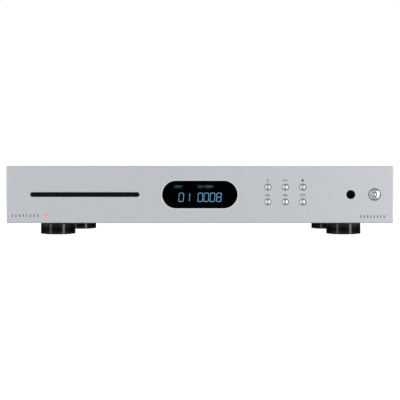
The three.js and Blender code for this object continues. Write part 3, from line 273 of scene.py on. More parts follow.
def block(bm, low, high):
    """A box between two corners."""
    outline = [(low[0], low[2]), (high[0], low[2]), (high[0], high[2]), (low[0], high[2])]
    return prism(bm, outline, low[1], high[1])


def finish_edges(obj, width):
    """Bevels hard edges and keeps flat faces flat in the shading."""
    weld = obj.modifiers.new("weld", "WELD")
    weld.merge_threshold = 2 * MERGE * MM
    bevel = obj.modifiers.new("bevel", "BEVEL")
    bevel.width = width * MM
    bevel.segments = 3
    bevel.limit_method = "ANGLE"
    bevel.angle_limit = SHARP
    obj.modifiers.new("normals", "WEIGHTED_NORMAL")


def make(name, bm, body, material, edge=0.0):
    """Turns a bmesh in millimetres into a piece of the object that rides on a body."""
    bmesh.ops.recalc_face_normals(bm, faces=bm.faces)
    for face in bm.faces:
        face.smooth = True
    for fold in bm.edges:
        if fold.is_manifold and fold.calc_face_angle() > SHARP:
            fold.smooth = False
    bmesh.ops.scale(bm, vec=(MM, MM, MM), verts=bm.verts)
    mesh = bpy.data.meshes.new(name)
    bm.to_mesh(mesh)
    bm.free()
    obj = bpy.data.objects.new(name, mesh)
    bpy.context.scene.collection.objects.link(obj)
    mesh.materials.append(material)
    if edge:
        finish_edges(obj, edge)
    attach(obj, body)
    return obj


# ---------------------------------------------------------------- material nodes


def map_range(tree, value, start, end, low, high):
    """A node that turns start into low and end into high."""
    node = tree.nodes.new("ShaderNodeMapRange")
    ends = {"From Min": start, "From Max": end, "To Min": low, "To Max": high}
    for socket, number in ends.items():
        node.inputs[socket].default_value = number
    tree.links.new(value, node.inputs["Value"])
    return node


class Finish:
    """A Principled material whose patterns are added in short steps, in millimetres."""

    def __init__(self, name, **sockets):
        self.material = bpy.data.materials.new(name)
        self.material.use_nodes = True
        self.tree = self.material.node_tree
        self.shader = self.tree.nodes["Principled BSDF"]
        for socket, value in sockets.items():
            self.shader.inputs[socket.replace("_", " ")].default_value = value
        self.place = self.tree.nodes.new("ShaderNodeTexCoord").outputs["Object"]
        self.last_bump = None

    def add(self, kind):
        return self.tree.nodes.new(kind)

    def stretched(self, stretch):
        mapping = self.add("ShaderNodeMapping")
        mapping.inputs["Scale"].default_value = stretch
        self.tree.links.new(self.place, mapping.inputs["Vector"])
        return mapping.outputs[0]

    def noise(self, size, detail=3.0, stretch=(1, 1, 1), harsh=0.55):
        """Cloudy pattern whose blots are about this many millimetres wide."""
        node = self.add("ShaderNodeTexNoise")
        node.inputs["Scale"].default_value = 1 / (size * MM)
        node.inputs["Detail"].default_value = detail
        node.inputs["Roughness"].default_value = harsh
        self.tree.links.new(self.stretched(stretch), node.inputs["Vector"])
        return node.outputs[0]

    def cells(self, size, stretch=(1, 1, 1)):
        """Distance to scattered points that stand about this many millimetres apart."""
        node = self.add("ShaderNodeTexVoronoi")
        node.inputs["Scale"].default_value = 1 / (size * MM)
        self.tree.links.new(self.stretched(stretch), node.inputs["Vector"])
        return node.outputs[0]

    def scaled(self, value, low, high, start=0.3, end=0.7):
        """The pattern's middle range spread from low to high."""
        return map_range(self.tree, value, start, end, low, high).outputs[0]

    def colour(self, value, *stops, socket="Base Color"):
        """Colours along the pattern's middle range, evenly spread."""
        ramp = self.add("ShaderNodeValToRGB")
        elements = ramp.color_ramp.elements
        while len(elements) < len(stops):
            elements.new(0.5)
        for i, stop in enumerate(stops):
            elements[i].position = 0.3 + 0.4 * i / max(len(stops) - 1, 1)
            elements[i].color = (*stop, 1)
        self.tree.links.new(value, ramp.inputs[0])
        self.tree.links.new(ramp.outputs[0], self.shader.inputs[socket])
        return self

    def rough(self, value, low, high):
        self.tree.links.new(self.scaled(value, low, high), self.shader.inputs["Roughness"])
        return self

    def bump(self, value, depth, strength=1.0):
        """Raises the surface by the pattern, up to depth millimetres."""
        node = self.add("ShaderNodeBump")
        node.inputs["Strength"].default_value = strength
        node.inputs["Distance"].default_value = depth * MM
        self.tree.links.new(value, node.inputs["Height"])
        if self.last_bump:
            self.tree.links.new(self.last_bump, node.inputs["Normal"])
        self.tree.links.new(node.outputs[0], self.shader.inputs["Normal"])
        self.last_bump = node.outputs[0]
        return self


def tone(value, tint=(1, 1, 1)):
    return tuple(value * t for t in tint)


COOL = (0.966, 1.0, 1.036)  # the clear anodising's faint blue


def anodised_aluminium():
    """Bead-blasted, clear anodised: fine even grain and very slight clouding."""
    f = Finish("fascia_bead_blasted", Metallic=0.92, IOR=1.5)
    f.colour(f.noise(1.7, 4), tone(0.84, COOL), tone(0.88, COOL))
    f.rough(f.noise(0.6, 2), 0.56, 0.64)
    f.bump(f.noise(0.3, 3), 0.006, 0.5)
    return f.bump(f.cells(0.45), 0.004, 0.3).material


def cut_edge_painted_highlight():
    """Cut edges: fine tool lines under a near-white, mostly non-metal colour that scatters light
    almost as white paint does, a painted highlight for the bright ring the chamfers catch.
    """
    f = Finish("edge_cut_painted_highlight", Metallic=0.15)
    f.colour(f.noise(3, 3), tone(0.93, COOL), tone(0.98, COOL))
    f.rough(f.noise(0.5, 2, (1, 8, 1)), 0.4, 0.52)
    return f.bump(f.noise(0.15, 2, (1, 10, 1)), 0.003, 0.4).material


def polished_metal():
    """Buttons: polished aluminium with the faintest haze and handling marks."""
    f = Finish("button_polished", Metallic=1.0)
    f.colour(f.noise(2.5, 4), tone(0.76, COOL), tone(0.84, COOL))
    f.rough(f.noise(0.8, 4), 0.2, 0.28)
    return f.bump(f.noise(0.1, 2), 0.0015, 0.35).material


def satin_metal():
    """Power button: the same metal, finely brushed to a satin."""
    f = Finish("button_satin", Metallic=1.0)
    f.colour(f.noise(2.5, 4), tone(0.68, COOL), tone(0.76, COOL))
    f.rough(f.noise(0.8, 4), 0.2, 0.26)
    return f.bump(f.noise(0.12, 2), 0.0015, 0.35).material


def satin_paint():
    """Silver paint on sheet steel: fine metallic flake under a satin coat."""
    f = Finish("cover_satin_paint", Metallic=0.45, Coat_Weight=0.25, Coat_Roughness=0.35)
    f.colour(f.noise(0.35, 3), tone(0.44, COOL), tone(0.53, COOL))
    f.rough(f.noise(6, 4), 0.42, 0.52)
    f.bump(f.noise(1.6, 3), 0.012, 0.25)
    return f.bump(f.noise(0.22, 2), 0.006, 0.4).material


def zinc_plate():
    """Bright zinc on folded steel: rolled grain, faint spangle and dull patches."""
    f = Finish("steel_zinc_plated", Metallic=1.0)
    f.colour(f.cells(5), (0.44, 0.45, 0.47), (0.56, 0.57, 0.58), (0.5, 0.51, 0.52))
    f.rough(f.noise(9, 4), 0.28, 0.46)
    return f.bump(f.noise(0.35, 3, (1, 0.15, 1)), 0.006, 0.35).material


def ground_steel():
    f = Finish("rod_ground_steel", Metallic=1.0)
    f.colour(f.noise(3, 3), (0.6, 0.61, 0.63), (0.68, 0.69, 0.7))
    f.rough(f.noise(1.2, 3), 0.12, 0.24)
    return f.bump(f.noise(0.2, 2, (1, 6, 6)), 0.002, 0.4).material


def screw_steel():
    """Blackened screws: satin black with bright rubbed spots."""
    f = Finish("screw_black_zinc", Metallic=0.9)
    f.colour(f.noise(1.1, 4), (0.028, 0.029, 0.031), (0.06, 0.062, 0.066))
    f.rough(f.noise(0.7, 3), 0.3, 0.5)
    return f.bump(f.noise(0.25, 3), 0.008, 0.4).material


def smoked_acrylic():
    """Polished dark acrylic, seen into a little way, with hairline polishing marks."""
    look = {"Transmission_Weight": 1.0, "IOR": 1.08, "Specular_IOR_Level": 0.05}
    f = Finish("window_smoked_acrylic", **look)
    f.colour(f.noise(20, 2), (0.16, 0.165, 0.18), (0.18, 0.185, 0.2))
    f.rough(f.noise(4, 4), 0.01, 0.035)
    return f.bump(f.noise(0.5, 2, (1, 1, 12)), 0.0006, 0.12).material


def infrared_acrylic():
    """Opaque to the eye: polished near-black acrylic with a deep red cast."""
    f = Finish("ir_window_acrylic", IOR=1.49, Specular_IOR_Level=0.08)
    f.colour(f.noise(5, 3), (0.0025, 0.0014, 0.0016), (0.004, 0.002, 0.0024))
    f.rough(f.noise(3, 3), 0.04, 0.09)
    return f.bump(f.noise(0.6, 2), 0.0008, 0.15).material


def dark_glass():
    f = Finish("display_dark_glass", IOR=1.5, Specular_IOR_Level=0.2)
    f.colour(f.noise(8, 3), (0.0015, 0.0018, 0.0022), (0.0026, 0.003, 0.0036))
    f.rough(f.noise(2, 3), 0.12, 0.22)
    return f.bump(f.cells(0.5), 0.002, 0.15).material


def mask_ink():
    f = Finish("window_mask_ink")
    f.colour(f.noise(6, 3), (0.0012, 0.0012, 0.0013), (0.0022, 0.0022, 0.0024))
    f.rough(f.noise(1, 3), 0.75, 0.9)
    return f.bump(f.noise(0.2, 2), 0.004, 0.3).material


def segment_glow(name, strength):
    """Lit phosphor: a cool blue that is a little uneven along each segment."""
    look = {"Roughness": 0.6, "Base_Color": (0.02, 0.05, 0.08, 1)}
    f = Finish(name, Emission_Strength=strength, **look)
    f.colour(f.noise(0.5, 3), (0.15, 0.38, 0.58), (0.22, 0.5, 0.7), socket="Emission Color")
    return f.bump(f.noise(0.1, 2), 0.003, 0.3).material


def lamp_lens():
    """The standby lamp: diffusing orange-red plastic, hottest in the middle of its grain."""
    look = {"Base_Color": (0.6, 0.08, 0.01, 1), "Specular_IOR_Level": 0.15}
    f = Finish("lamp_orange_red", Emission_Strength=0.95, **look)
    f.colour(f.noise(0.5, 2), (1.0, 0.15, 0.008), (1.0, 0.24, 0.02), socket="Emission Color")
    f.rough(f.noise(0.3, 2), 0.22, 0.38)
    return f.bump(f.noise(0.15, 2), 0.004, 0.3).material


def moulded_black():
    """Spark-eroded black plastic: pebbled texture and a faint flow pattern."""
    f = Finish("plastic_black_moulded")
    f.colour(f.noise(10, 3), (0.0085, 0.0088, 0.0092), (0.014, 0.0144, 0.015))
    f.rough(f.noise(1.5, 3), 0.42, 0.58)
    return f.bump(f.cells(0.35), 0.012, 0.5).material


def foot_shell_plastic():
    """Semi-gloss black moulding with slight sink and scuffs."""
    f = Finish("foot_semi_gloss", Specular_IOR_Level=0.42)
    f.colour(f.noise(7, 4), (0.002, 0.0021, 0.0022), (0.0036, 0.0037, 0.0039))
    f.rough(f.noise(2.2, 4), 0.1, 0.15)
    f.bump(f.noise(9, 2), 0.012, 0.2)
    return f.bump(f.noise(0.3, 2), 0.002, 0.15).material


def dusty_rubber(name, dark, pale, grain):
    """Matte rubber with a dusty bloom."""
    f = Finish(name, Sheen_Weight=0.15)
    f.colour(f.noise(3, 5, harsh=0.7), tone(dark), tone(pale))
    f.rough(f.noise(1.2, 3), 0.78, 0.95)
    return f.bump(f.noise(grain, 3), 0.03, 0.6).material


def needle_felt():
    """Tangled black fibres."""
    f = Finish("felt_needled", Sheen_Weight=0.1, Specular_IOR_Level=0.2)
    fibres = f.noise(0.35, 5, (1, 1, 3), 0.75)
    f.colour(fibres, (0.004, 0.0042, 0.0045), (0.014, 0.0148, 0.0155))
    f.rough(f.noise(0.5, 3), 0.9, 1.0)
    f.bump(f.noise(0.25, 4, (3, 1, 1)), 0.08, 0.8)
    return f.bump(f.noise(0.12, 2, (1, 1, 4)), 0.04, 0.7).material


def acetal():
    f = Finish("plastic_white_acetal", Subsurface_Weight=0.08, Subsurface_Scale=0.5 * MM)
    f.colour(f.noise(6, 3), (0.7, 0.69, 0.63), (0.78, 0.77, 0.72))
    f.rough(f.noise(1.5, 3), 0.36, 0.5)
    return f.bump(f.noise(0.4, 3), 0.008, 0.3).material


def solder_resist():
    """Green lacquer over copper tracks: tracks stand up as a grid of fine ridges."""
    f = Finish("board_solder_resist", Coat_Weight=0.4, Coat_Roughness=0.15)
    tracks = f.cells(3.2, (1, 1, 0.4))
    f.colour(tracks, (0.008, 0.05, 0.02), (0.014, 0.09, 0.036), (0.02, 0.12, 0.05))
    f.rough(f.noise(2, 3), 0.32, 0.5)
    f.bump(f.cells(1.7, (1, 0.35, 1)), 0.035, 0.4)
    return f.bump(f.noise(0.3, 2), 0.006, 0.3).material


def taped_winding():
    """Transformer: overlapping turns of copper-brown varnished tape."""
    f = Finish("winding_varnished_tape", Coat_Weight=0.3, Coat_Roughness=0.2)
    f.colour(f.noise(3, 4, (1, 1, 0.3)), (0.16, 0.055, 0.016), (0.3, 0.11, 0.035))
    f.rough(f.noise(2, 3), 0.3, 0.5)
    f.bump(f.noise(2.4, 1, (1, 1, 0.08)), 0.25, 0.6)
    return f.bump(f.noise(0.3, 3), 0.02, 0.4).material


def coated_glass():
    f = Finish("lens_coated_glass", IOR=1.52, Coat_Weight=1.0, Coat_Roughness=0.02)
    f.colour(f.noise(1.5, 2), (0.05, 0.07, 0.2), (0.09, 0.12, 0.3))
    f.rough(f.noise(0.8, 2), 0.03, 0.07)
    return f.bump(f.noise(0.3, 2), 0.0004, 0.1).material


def gold_flash():
    f = Finish("socket_gold_flash", Metallic=1.0)
    f.colour(f.noise(1.6, 4), (0.6, 0.39, 0.11), (0.76, 0.53, 0.18))
    f.rough(f.noise(0.8, 3), 0.16, 0.3)
    return f.bump(f.noise(0.3, 2), 0.003, 0.3).material


def ribbon_plastic():
    """Flat cable: pale grey insulation over side-by-side strands."""
    f = Finish("ribbon_insulation")
    f.colour(f.noise(1.3, 1, (1, 0.02, 0.02)), (0.5, 0.5, 0.48), (0.68, 0.68, 0.66))
    f.rough(f.noise(2, 3), 0.4, 0.55)
    return f.bump(f.noise(1.27, 0, (1, 0.01, 0.01)), 0.15, 0.6).material


def symbol_ink():
    f = Finish("symbol_ink_grey")
    f.colour(f.noise(0.4, 3), (0.018, 0.02, 0.022), (0.034, 0.036, 0.04))
    f.rough(f.noise(0.3, 2), 0.45, 0.6)
    return f.bump(f.noise(0.12, 2), 0.003, 0.4).material


ANODISED = anodised_aluminium()
# pale chamfer finish: a painted highlight round the fascia's openings
CUT_EDGE_PAINTED_HIGHLIGHT = cut_edge_painted_highlight()
POLISHED = polished_metal()
SATIN = satin_metal()
PAINT = satin_paint()
BLACK = moulded_black()
FOOT = foot_shell_plastic()
SCREW = screw_steel()
GOLD = gold_flash()
FELT_CLOTH = needle_felt()
FOOT_RUBBER = dusty_rubber("foot_rubber_bloom", 0.009, 0.02, 0.5)
LAMP = lamp_lens()
IR_ACRYLIC = infrared_acrylic()
GLASS = dark_glass()
INK_GREY = symbol_ink()

SLOT_FINISHES = {
    "fascia_aluminium": ANODISED,
    "button_metal": POLISHED,
    "case_paint": PAINT,
    "zinc_steel": zinc_plate(),
    "steel_rod": ground_steel(),
    "smoked_lens": IR_ACRYLIC,
    "display_glass": GLASS,
    "black_plastic": BLACK,
    "foot_plastic": FOOT,
    "foot_rubber": FOOT_RUBBER,
    "roller_rubber": dusty_rubber("roller_rubber_ground", 0.02, 0.04, 0.25),
    "felt": FELT_CLOTH,
    "led_amber": LAMP,
    "white_plastic": acetal(),
    "circuit_board": solder_resist(),
    "winding": taped_winding(),
    "lens_glass": coated_glass(),
    "brass": GOLD,
}
RIBBON = ribbon_plastic()


CAD_EDGE = 0.12  # bevel on the CAD nodes that stay in view


def dress_cad_nodes():
    """Gives each CAD node its slot's finish, and fine edges where it stays in view."""
    for name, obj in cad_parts.items():
        finish = SLOT_FINISHES[obj.material_slots[0].material.name]
        obj.material_slots[0].material = RIBBON if name == "front_ribbon_cable" else finish
        if not obj.hide_render:
            finish_edges(obj, CAD_EDGE)
            for face in obj.data.polygons:
                face.use_smooth = True


# ---------------------------------------------------------------- fascia

FASCIA_EDGE = 0.9
FASCIA_BACK_EDGE = 0.3
FASCIA_CORNER = 1.5
SLOT_CUT = 0.15
WINDOW_CUT = 1.3
BORE_CUT = 0.3
BACK_CUT = 0.1
EVEN = 1.0  # a cut edge as deep as it is wide
SHALLOW = 0.25
FACE_MARGIN = 2  # from the fascia's outer edges to the nearest cut face


def key_bores():
    for span in KEY_SPANS.values():
        yield span.face, KEY_RADIUS + KEY_RING


def fascia_openings():
    """(loop, cut edge's width, its depth as a share of that) of each opening in the fascia."""
    slot = round_rect(FELT.face, SLOT_SIZE, SLOT_SIZE[1] / 2, 12)
    window = round_rect(WINDOW.face, WINDOW_SIZE, WINDOW_SIZE[1] / 2, 40)
    openings = [
        (slot, SLOT_CUT, EVEN),
        (window, WINDOW_CUT, SHALLOW),
        (circle(POWER.face, POWER_RADIUS + POWER_RING, 96), BORE_CUT, EVEN),
        (circle(IR.face, IR_RADIUS + FIT_GAP, 72), SLOT_CUT, EVEN),
        (circle(LED.face, LED_RADIUS + FIT_GAP, 40), SLOT_CUT, EVEN),
    ]
    for centre, radius in key_bores():
        openings.append((circle(centre, radius, 64), BORE_CUT, EVEN))
    return openings


def build_fascia():
    """The thick front: softly broken outer edges and a cut chamfer round each opening."""
    centre = PANEL.face
    outline = round_rect(centre, (PANEL.size.x, PANEL.size.z), FASCIA_CORNER, 8)
    rims = [Rim(outline, front=FASCIA_EDGE, back=FASCIA_BACK_EDGE)]
    for loop, cut, sink in fascia_openings():
        rims.append(Rim(loop, True, cut, BACK_CUT, 1, sink))
    bm = plate(bmesh.new(), rims, PANEL.low.y, PANEL.high.y)
    obj = make("fascia", bm, CASE, ANODISED)
    # the opening chamfers take the pale cut-edge finish, a painted highlight round each opening
    obj.data.materials.append(CUT_EDGE_PAINTED_HIGHLIGHT)
    for face in obj.data.polygons:
        spot = face.center / MM
        near = abs(spot.y - FRONT) < WINDOW_CUT
        sloping = 0.3 < abs(face.normal.y) < 0.99
        across = abs(spot.x) < PANEL.high.x - FACE_MARGIN
        level = PANEL.low.z + FACE_MARGIN < spot.z < PANEL.high.z - FACE_MARGIN
        if near and sloping and across and level:
            face.material_index = 1
    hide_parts("front_panel")


# ---------------------------------------------------------------- slot


LIP_GAP = 0.12  # each lip's free edge from the slot's middle
LIP_END = 1.5  # how far the lips run on past the slot's ends
LIP_ROUND = 0.5
LIP_STATIONS = 48


def lip(bm, up):
    """One felt lip: a long strip whose free edge is rounded over and a little wavy."""
    half = SLOT_SIZE[0] / 2 + LIP_END
    free = up * LIP_GAP
    held = up * (FELT.size.z / 2 - FELT_MARGIN / 2)
    front, back = FELT.low.y, FELT.high.y
    profile = [(front, held)]
    for i in range(7):
        angle = math.radians(90 - 15 * i)
        depth = LIP_ROUND * (1 - math.sin(angle))
        profile.append((front + depth, free + up * LIP_ROUND * (1 - math.cos(angle))))
    profile += [(back, free), (back, held)]
    rings = []
    for i in range(LIP_STATIONS + 1):
        x = FELT.mid.x - half + 2 * half * i / LIP_STATIONS
        wave = up * abs(0.035 * math.sin(0.9 * x) + 0.025 * math.sin(2.3 * x + 1))
        ring = []
        for y, z in profile:
            shift = wave if z != held else 0
            ring.append((x, y, FELT.mid.z + z + shift))
        rings.append(add_ring(bm, ring))
    for near, far in zip(rings, rings[1:]):
        bridge(bm, near, far)
    bm.faces.new(rings[0])
    bm.faces.new(rings[-1])


def build_slot_lips():
    bm = bmesh.new()
    lip(bm, 1)
    lip(bm, -1)
    obj = make("slot_lips", bm, CASE, FELT_CLOTH)
    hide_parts("slot_felt")


# ---------------------------------------------------------------- display

MASK_THICK = 0.1
DIGIT_FACE = WINDOW.high.y + MASK_THICK
DIGIT_THICK = 0.06
DIGIT_HEIGHT = 10.4
DIGIT_WIDTH = 6.0
DIGIT_STROKE = 0.75
DIGIT_SLANT = math.tan(math.radians(4))
DIGIT_Z = -3.2  # digits' middle, from the window's middle
SEGMENTS = {"0": "abcdef", "1": "bc", "8": "abcdefg"}
# each digit's middle from the window's middle
READOUT = [(-21.7, "0"), (-14.6, "1"), (0.45, "0"), (7.35, "0"), (14.5, "0"), (22.0, "8")]
SEGMENT_GAP = 0.16
BADGE_Z = 9.2
BADGE_HEIGHT = 2.8
BADGE_STROKE = 0.25
BADGE_CORNER = 0.7
BADGE_BAR = 0.55
BADGE_BAR_END = 2.1  # bar's end to its frame's end
BADGES = [(-25.3, 9.0), (0.4, 6.4), (10.4, 9.8)]  # middle from the window's middle, width


def build_window():
    outline = round_rect(
        WINDOW.face,
        (WINDOW_SIZE[0] - 2 * FIT_GAP, WINDOW_SIZE[1] - 2 * FIT_GAP),
        WINDOW_SIZE[1] / 2 - FIT_GAP,
        40,
    )
    rims = [Rim(outline, front=0.15, back=0.05)]
    bm = plate(bmesh.new(), rims, WINDOW.low.y, WINDOW.high.y)
    obj = make("window_lens", bm, CASE, smoked_acrylic())
    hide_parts("display_window")


def build_window_mask():
    """Black printing behind the lens, open where the display glass stands."""
    module = Span("display_module")
    centre = WINDOW.face
    outline = round_rect(centre, (WINDOW.size.x, WINDOW.size.z), WINDOW.size.z / 2, 24)
    open_size = (module.size.x - 12, module.size.z - 7)
    opening = round_rect(centre, open_size, 1.0, 4)
    rims = [Rim(outline, steps=1), Rim(opening, True, steps=1)]
    bm = plate(bmesh.new(), rims, WINDOW.high.y + 0.01, WINDOW.high.y + MASK_THICK)
    make("window_mask", bm, CASE, mask_ink())


def segment_ends(letter):
    """The two ends of a segment, as shares of the digit's half width and half height."""
    return {
        "a": ((-1, 1), (1, 1)),
        "b": ((1, 1), (1, 0)),
        "c": ((1, 0), (1, -1)),
        "d": ((-1, -1), (1, -1)),
        "e": ((-1, 0), (-1, -1)),
        "f": ((-1, 1), (-1, 0)),
        "g": ((-1, 0), (1, 0)),
    }[letter]


def segment_outline(letter, centre):
    """A bar with mitred ends between two corners of the digit, leaning a little."""
    half = ((DIGIT_WIDTH - DIGIT_STROKE) / 2, (DIGIT_HEIGHT - DIGIT_STROKE) / 2)
    start, end = (Vector((u * half[0], v * half[1])) for u, v in segment_ends(letter))
    along = (end - start).normalized()
    across = Vector((-along.y, along.x)) * DIGIT_STROKE / 2
    mitre = along * DIGIT_STROKE * 0.45
    gap = along * SEGMENT_GAP
    tips = [
        start + gap,
        start + gap + mitre + across,
        end - gap - mitre + across,
        end - gap,
        end - gap - mitre - across,
        start + gap + mitre - across,
    ]
    return [(centre[0] + p.x + p.y * DIGIT_SLANT, centre[1] + p.y) for p in tips]


def build_readout():
    """A track number and a running time in seven-segment digits."""
    bm = bmesh.new()
    for offset, digit in READOUT:
        centre = (WINDOW.mid.x + offset, WINDOW.mid.z + DIGIT_Z)
        for letter in SEGMENTS[digit]:
            outline = segment_outline(letter, centre)
            prism(bm, outline, DIGIT_FACE, DIGIT_FACE + DIGIT_THICK)
    make("display_readout", bm, CASE, segment_glow("segment_lit", 4.6))


def build_badges():
    """Dimmer indicator frames above the digits, each with a plain bar in it."""
    bm = bmesh.new()
    for offset, width in BADGES:
        centre = (WINDOW.mid.x + offset, WINDOW.mid.z + BADGE_Z)
        outer = round_rect(centre, (width, BADGE_HEIGHT), BADGE_CORNER, 4)
        hole = (width - 2 * BADGE_STROKE, BADGE_HEIGHT - 2 * BADGE_STROKE)
        inner = round_rect(centre, hole, BADGE_CORNER - 0.2, 4)
        ring = [Rim(outer, steps=1), Rim(inner, True, steps=1)]
        plate(bm, ring, DIGIT_FACE, DIGIT_FACE + DIGIT_THICK)
        bar = round_rect(centre, (width - 2 * BADGE_BAR_END, BADGE_BAR), 0.25, 4)
        prism(bm, bar(), DIGIT_FACE, DIGIT_FACE + DIGIT_THICK)
    make("display_badges", bm, CASE, segment_glow("segment_dim", 2.2))


def build_ir_window():
    """A plain round lens with a flange behind the fascia."""
    flange = IR.high.y - 1.2
    profile = soften([
        (0, IR.low.y),
        (IR_RADIUS, IR.low.y, 0.25),
        (IR_RADIUS, flange),
        (IR.size.x / 2, flange),
        (IR.size.x / 2, IR.high.y),
        (0, IR.high.y),
    ])
    bm = lathe(bmesh.new(), profile, (IR.mid.x, 0, IR.mid.z))
    obj = make("ir_lens", bm, CASE, IR_ACRYLIC)
    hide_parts("ir_window")


def build_lamp():
    """A small domed lamp with its collar and base."""
    base = LED_RADIUS + 0.3
    back = LED.high.y
    dome = [
        (LED_RADIUS * math.sin(a), LED.low.y + 0.5 * (1 - math.cos(a)))
        for a in (math.radians(15 * i) for i in range(7))
    ]
    collar = back - 5
    profile = dome + [
        (LED_RADIUS, collar),
        (LED_RADIUS + LED_FLANGE, collar),
        (LED_RADIUS + LED_FLANGE, collar + 1),
        (base, collar + 1),
        (base, back),
        (0, back),
    ]
    bm = lathe(bmesh.new(), profile, (LED.mid.x, 0, LED.mid.z), segments=40)
    obj = make("standby_lamp", bm, CASE, LAMP)
    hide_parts("standby_led")


# ---------------------------------------------------------------- buttons

KEY_CURVE = 5.0  # dome's radius of curvature
POWER_CURVE = 14
BOSS_CURVE = 3.8
BOSS_RADIUS = 2.5
BOSS_SINK = 0.1  # boss's edge behind the cap's face
GROOVE_WIDTH = 0.75
GROOVE_DEPTH = 1.0
FLANGE_BACK = 0.3  # flange's front behind the fascia's rear face
KEY_FLANGE_THICK = 1.0
POWER_FLANGE_THICK = 0.9
KEY_STEM = 1.6
POWER_STEM = 2


def dome_profile(curve, inner, outer, top, steps):
    """(radius, y) along a dome of this radius of curvature, its inner edge at y = top."""
    start = math.sqrt(curve**2 - inner**2)
    points = []
    for i in range(steps + 1):
        radius = inner + (outer - inner) * i / steps
        points.append((radius, top + start - math.sqrt(curve**2 - radius**2)))
    return points


def build_key(node):
    """A domed cap over its flange and stem."""
    span = KEY_SPANS[node]
    dome = dome_profile(KEY_CURVE, 0, KEY_RADIUS, span.low.y, 16)
    flange = PANEL.high.y + FLANGE_BACK
    profile = dome + [
        (KEY_RADIUS, flange),
        (KEY_RADIUS + KEY_FLANGE, flange),
        (KEY_RADIUS + KEY_FLANGE, flange + KEY_FLANGE_THICK),
        (KEY_STEM, flange + KEY_FLANGE_THICK),
        (KEY_STEM, span.high.y),
        (0, span.high.y),
    ]
    bm = lathe(bmesh.new(), profile, (span.mid.x, 0, span.mid.z))
    obj = make(node.replace("button", "cap"), bm, KEYS[node], POLISHED)
    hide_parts(node)


def build_power_button():
    """A flat-domed cap with a narrow ring groove round a small rounder boss."""
    face = POWER.low.y
    r = POWER_RADIUS
    crest = BOSS_RADIUS + GROOVE_WIDTH
    flange = PANEL.high.y + FLANGE_BACK
    steps = 12
    boss = dome_profile(BOSS_CURVE, 0, BOSS_RADIUS, face + BOSS_SINK, steps)
    groove = [(BOSS_RADIUS, face + GROOVE_DEPTH), (crest, face + GROOVE_DEPTH)]
    rim = dome_profile(POWER_CURVE, crest, r, face, steps)
    skirt = [
        (r, flange),
        (r + POWER_FLANGE, flange),
        (r + POWER_FLANGE, flange + POWER_FLANGE_THICK),
        (POWER_STEM, flange + POWER_FLANGE_THICK),
        (POWER_STEM, POWER.high.y),
        (0, POWER.high.y),
    ]
    profile = boss + groove + rim + skirt
    bm = lathe(bmesh.new(), profile, (POWER.mid.x, 0, POWER.mid.z), segments=96)
    obj = make("power_cap", bm, "power_key", SATIN)
    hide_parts("power_button")


# ---------------------------------------------------------------- printed symbols

SYMBOL_RISE = 7.8  # symbol's middle above its button's
SYMBOL = 1.15  # half of a symbol's height
SYMBOL_SHIFT = -0.3  # sideways from its button's middle
SYMBOL_BAR = 0.45
LOOP_WIDTH = 5.4
LOOP_STROKE = 0.4
INK = 0.03


def rectangle(x0, z0, x1, z1):
    return [(x0, z0), (x1, z0), (x1, z1), (x0, z1)]


def triangle(x, way, height=SYMBOL):
    """A triangle on its side, with its base at x, pointing right for 1 and left for -1."""
    return [(x, -height), (x + way * 1.6 * height, 0), (x, height)]


def symbol_shapes(node):
    """Outlines round the symbol's middle."""
    s = SYMBOL
    if node == "eject_button":
        return [[(-s, -0.3 * s), (s, -0.3 * s), (0, s)], rectangle(-s, -s, s, -0.65 * s)]
    if node == "play_pause_button":
        bars = [rectangle(x, -s, x + SYMBOL_BAR, s) for x in (1.0, 1.85)]
        return [triangle(-1.9, 1), *bars]
    if node == "stop_button":
        return [rectangle(-s, -s, s, s)]
    if node == "previous_button":
        return [rectangle(-2.5, -s, SYMBOL_BAR - 2.5, s), triangle(-0.1, -1), triangle(1.85, -1)]
    if node == "next_button":
        return [triangle(-1.85, 1), triangle(0.1, 1), rectangle(2.5 - SYMBOL_BAR, -s, 2.5, s)]
    return []


def loop_arrow(bm, centre):
    """A round-cornered loop with an arrowhead, for repeat."""
    outer = round_rect(centre, (LOOP_WIDTH, 2 * SYMBOL), SYMBOL, 6)
    hole = (LOOP_WIDTH - 2 * LOOP_STROKE, 2 * (SYMBOL - LOOP_STROKE))
    inner = round_rect(centre, hole, SYMBOL - LOOP_STROKE, 6)
    plate(bm, [Rim(outer, steps=1), Rim(inner, True, steps=1)], FRONT - INK, FRONT)
    top = centre[1] + SYMBOL - LOOP_STROKE / 2
    tip = [(centre[0] + x, top + z) for x, z in triangle(-0.4, 1, 0.75)]
    prism(bm, tip, FRONT - INK - 0.01, FRONT)


def build_symbols():
    """The grey marks over the transport buttons."""
    for node, span in KEY_SPANS.items():
        centre = (span.mid.x + SYMBOL_SHIFT, span.mid.z + SYMBOL_RISE)
        bm = bmesh.new()
        for shape in symbol_shapes(node):
            prism(bm, [(centre[0] + x, centre[1] + z) for x, z in shape], FRONT - INK, FRONT)
        if node == "repeat_button":
            loop_arrow(bm, centre)
        make(node.replace("button", "symbol"), bm, CASE, INK_GREY)


# Two plain marks stand where the fascia carries small print.
MARK_HEIGHT = 3.0
MARK_BAR = 0.95
MARKS = [  # left end and right end from the fascia's middle, height above its lower edge, bars
    (-217.8, -184.1, 8.5, 8),
    (183.4, 213.9, 7.5, 8),
]


def build_marks():
    """Rows of plain upright bars, in the symbols' ink."""
    bm = bmesh.new()
    for left, right, rise, bars in MARKS:
        pitch = (right - left) / bars
        low = PANEL.low.z + rise - MARK_HEIGHT / 2
        for i in range(bars):
            x = left + (i + 0.5) * pitch
            outline = rectangle(x - MARK_BAR / 2, low, x + MARK_BAR / 2, low + MARK_HEIGHT)
            prism(bm, outline, FRONT - INK, FRONT)
    make("plain_marks", bm, CASE, INK_GREY)


# ---------------------------------------------------------------- case

SHEET = 1.2
BEND = 2.5


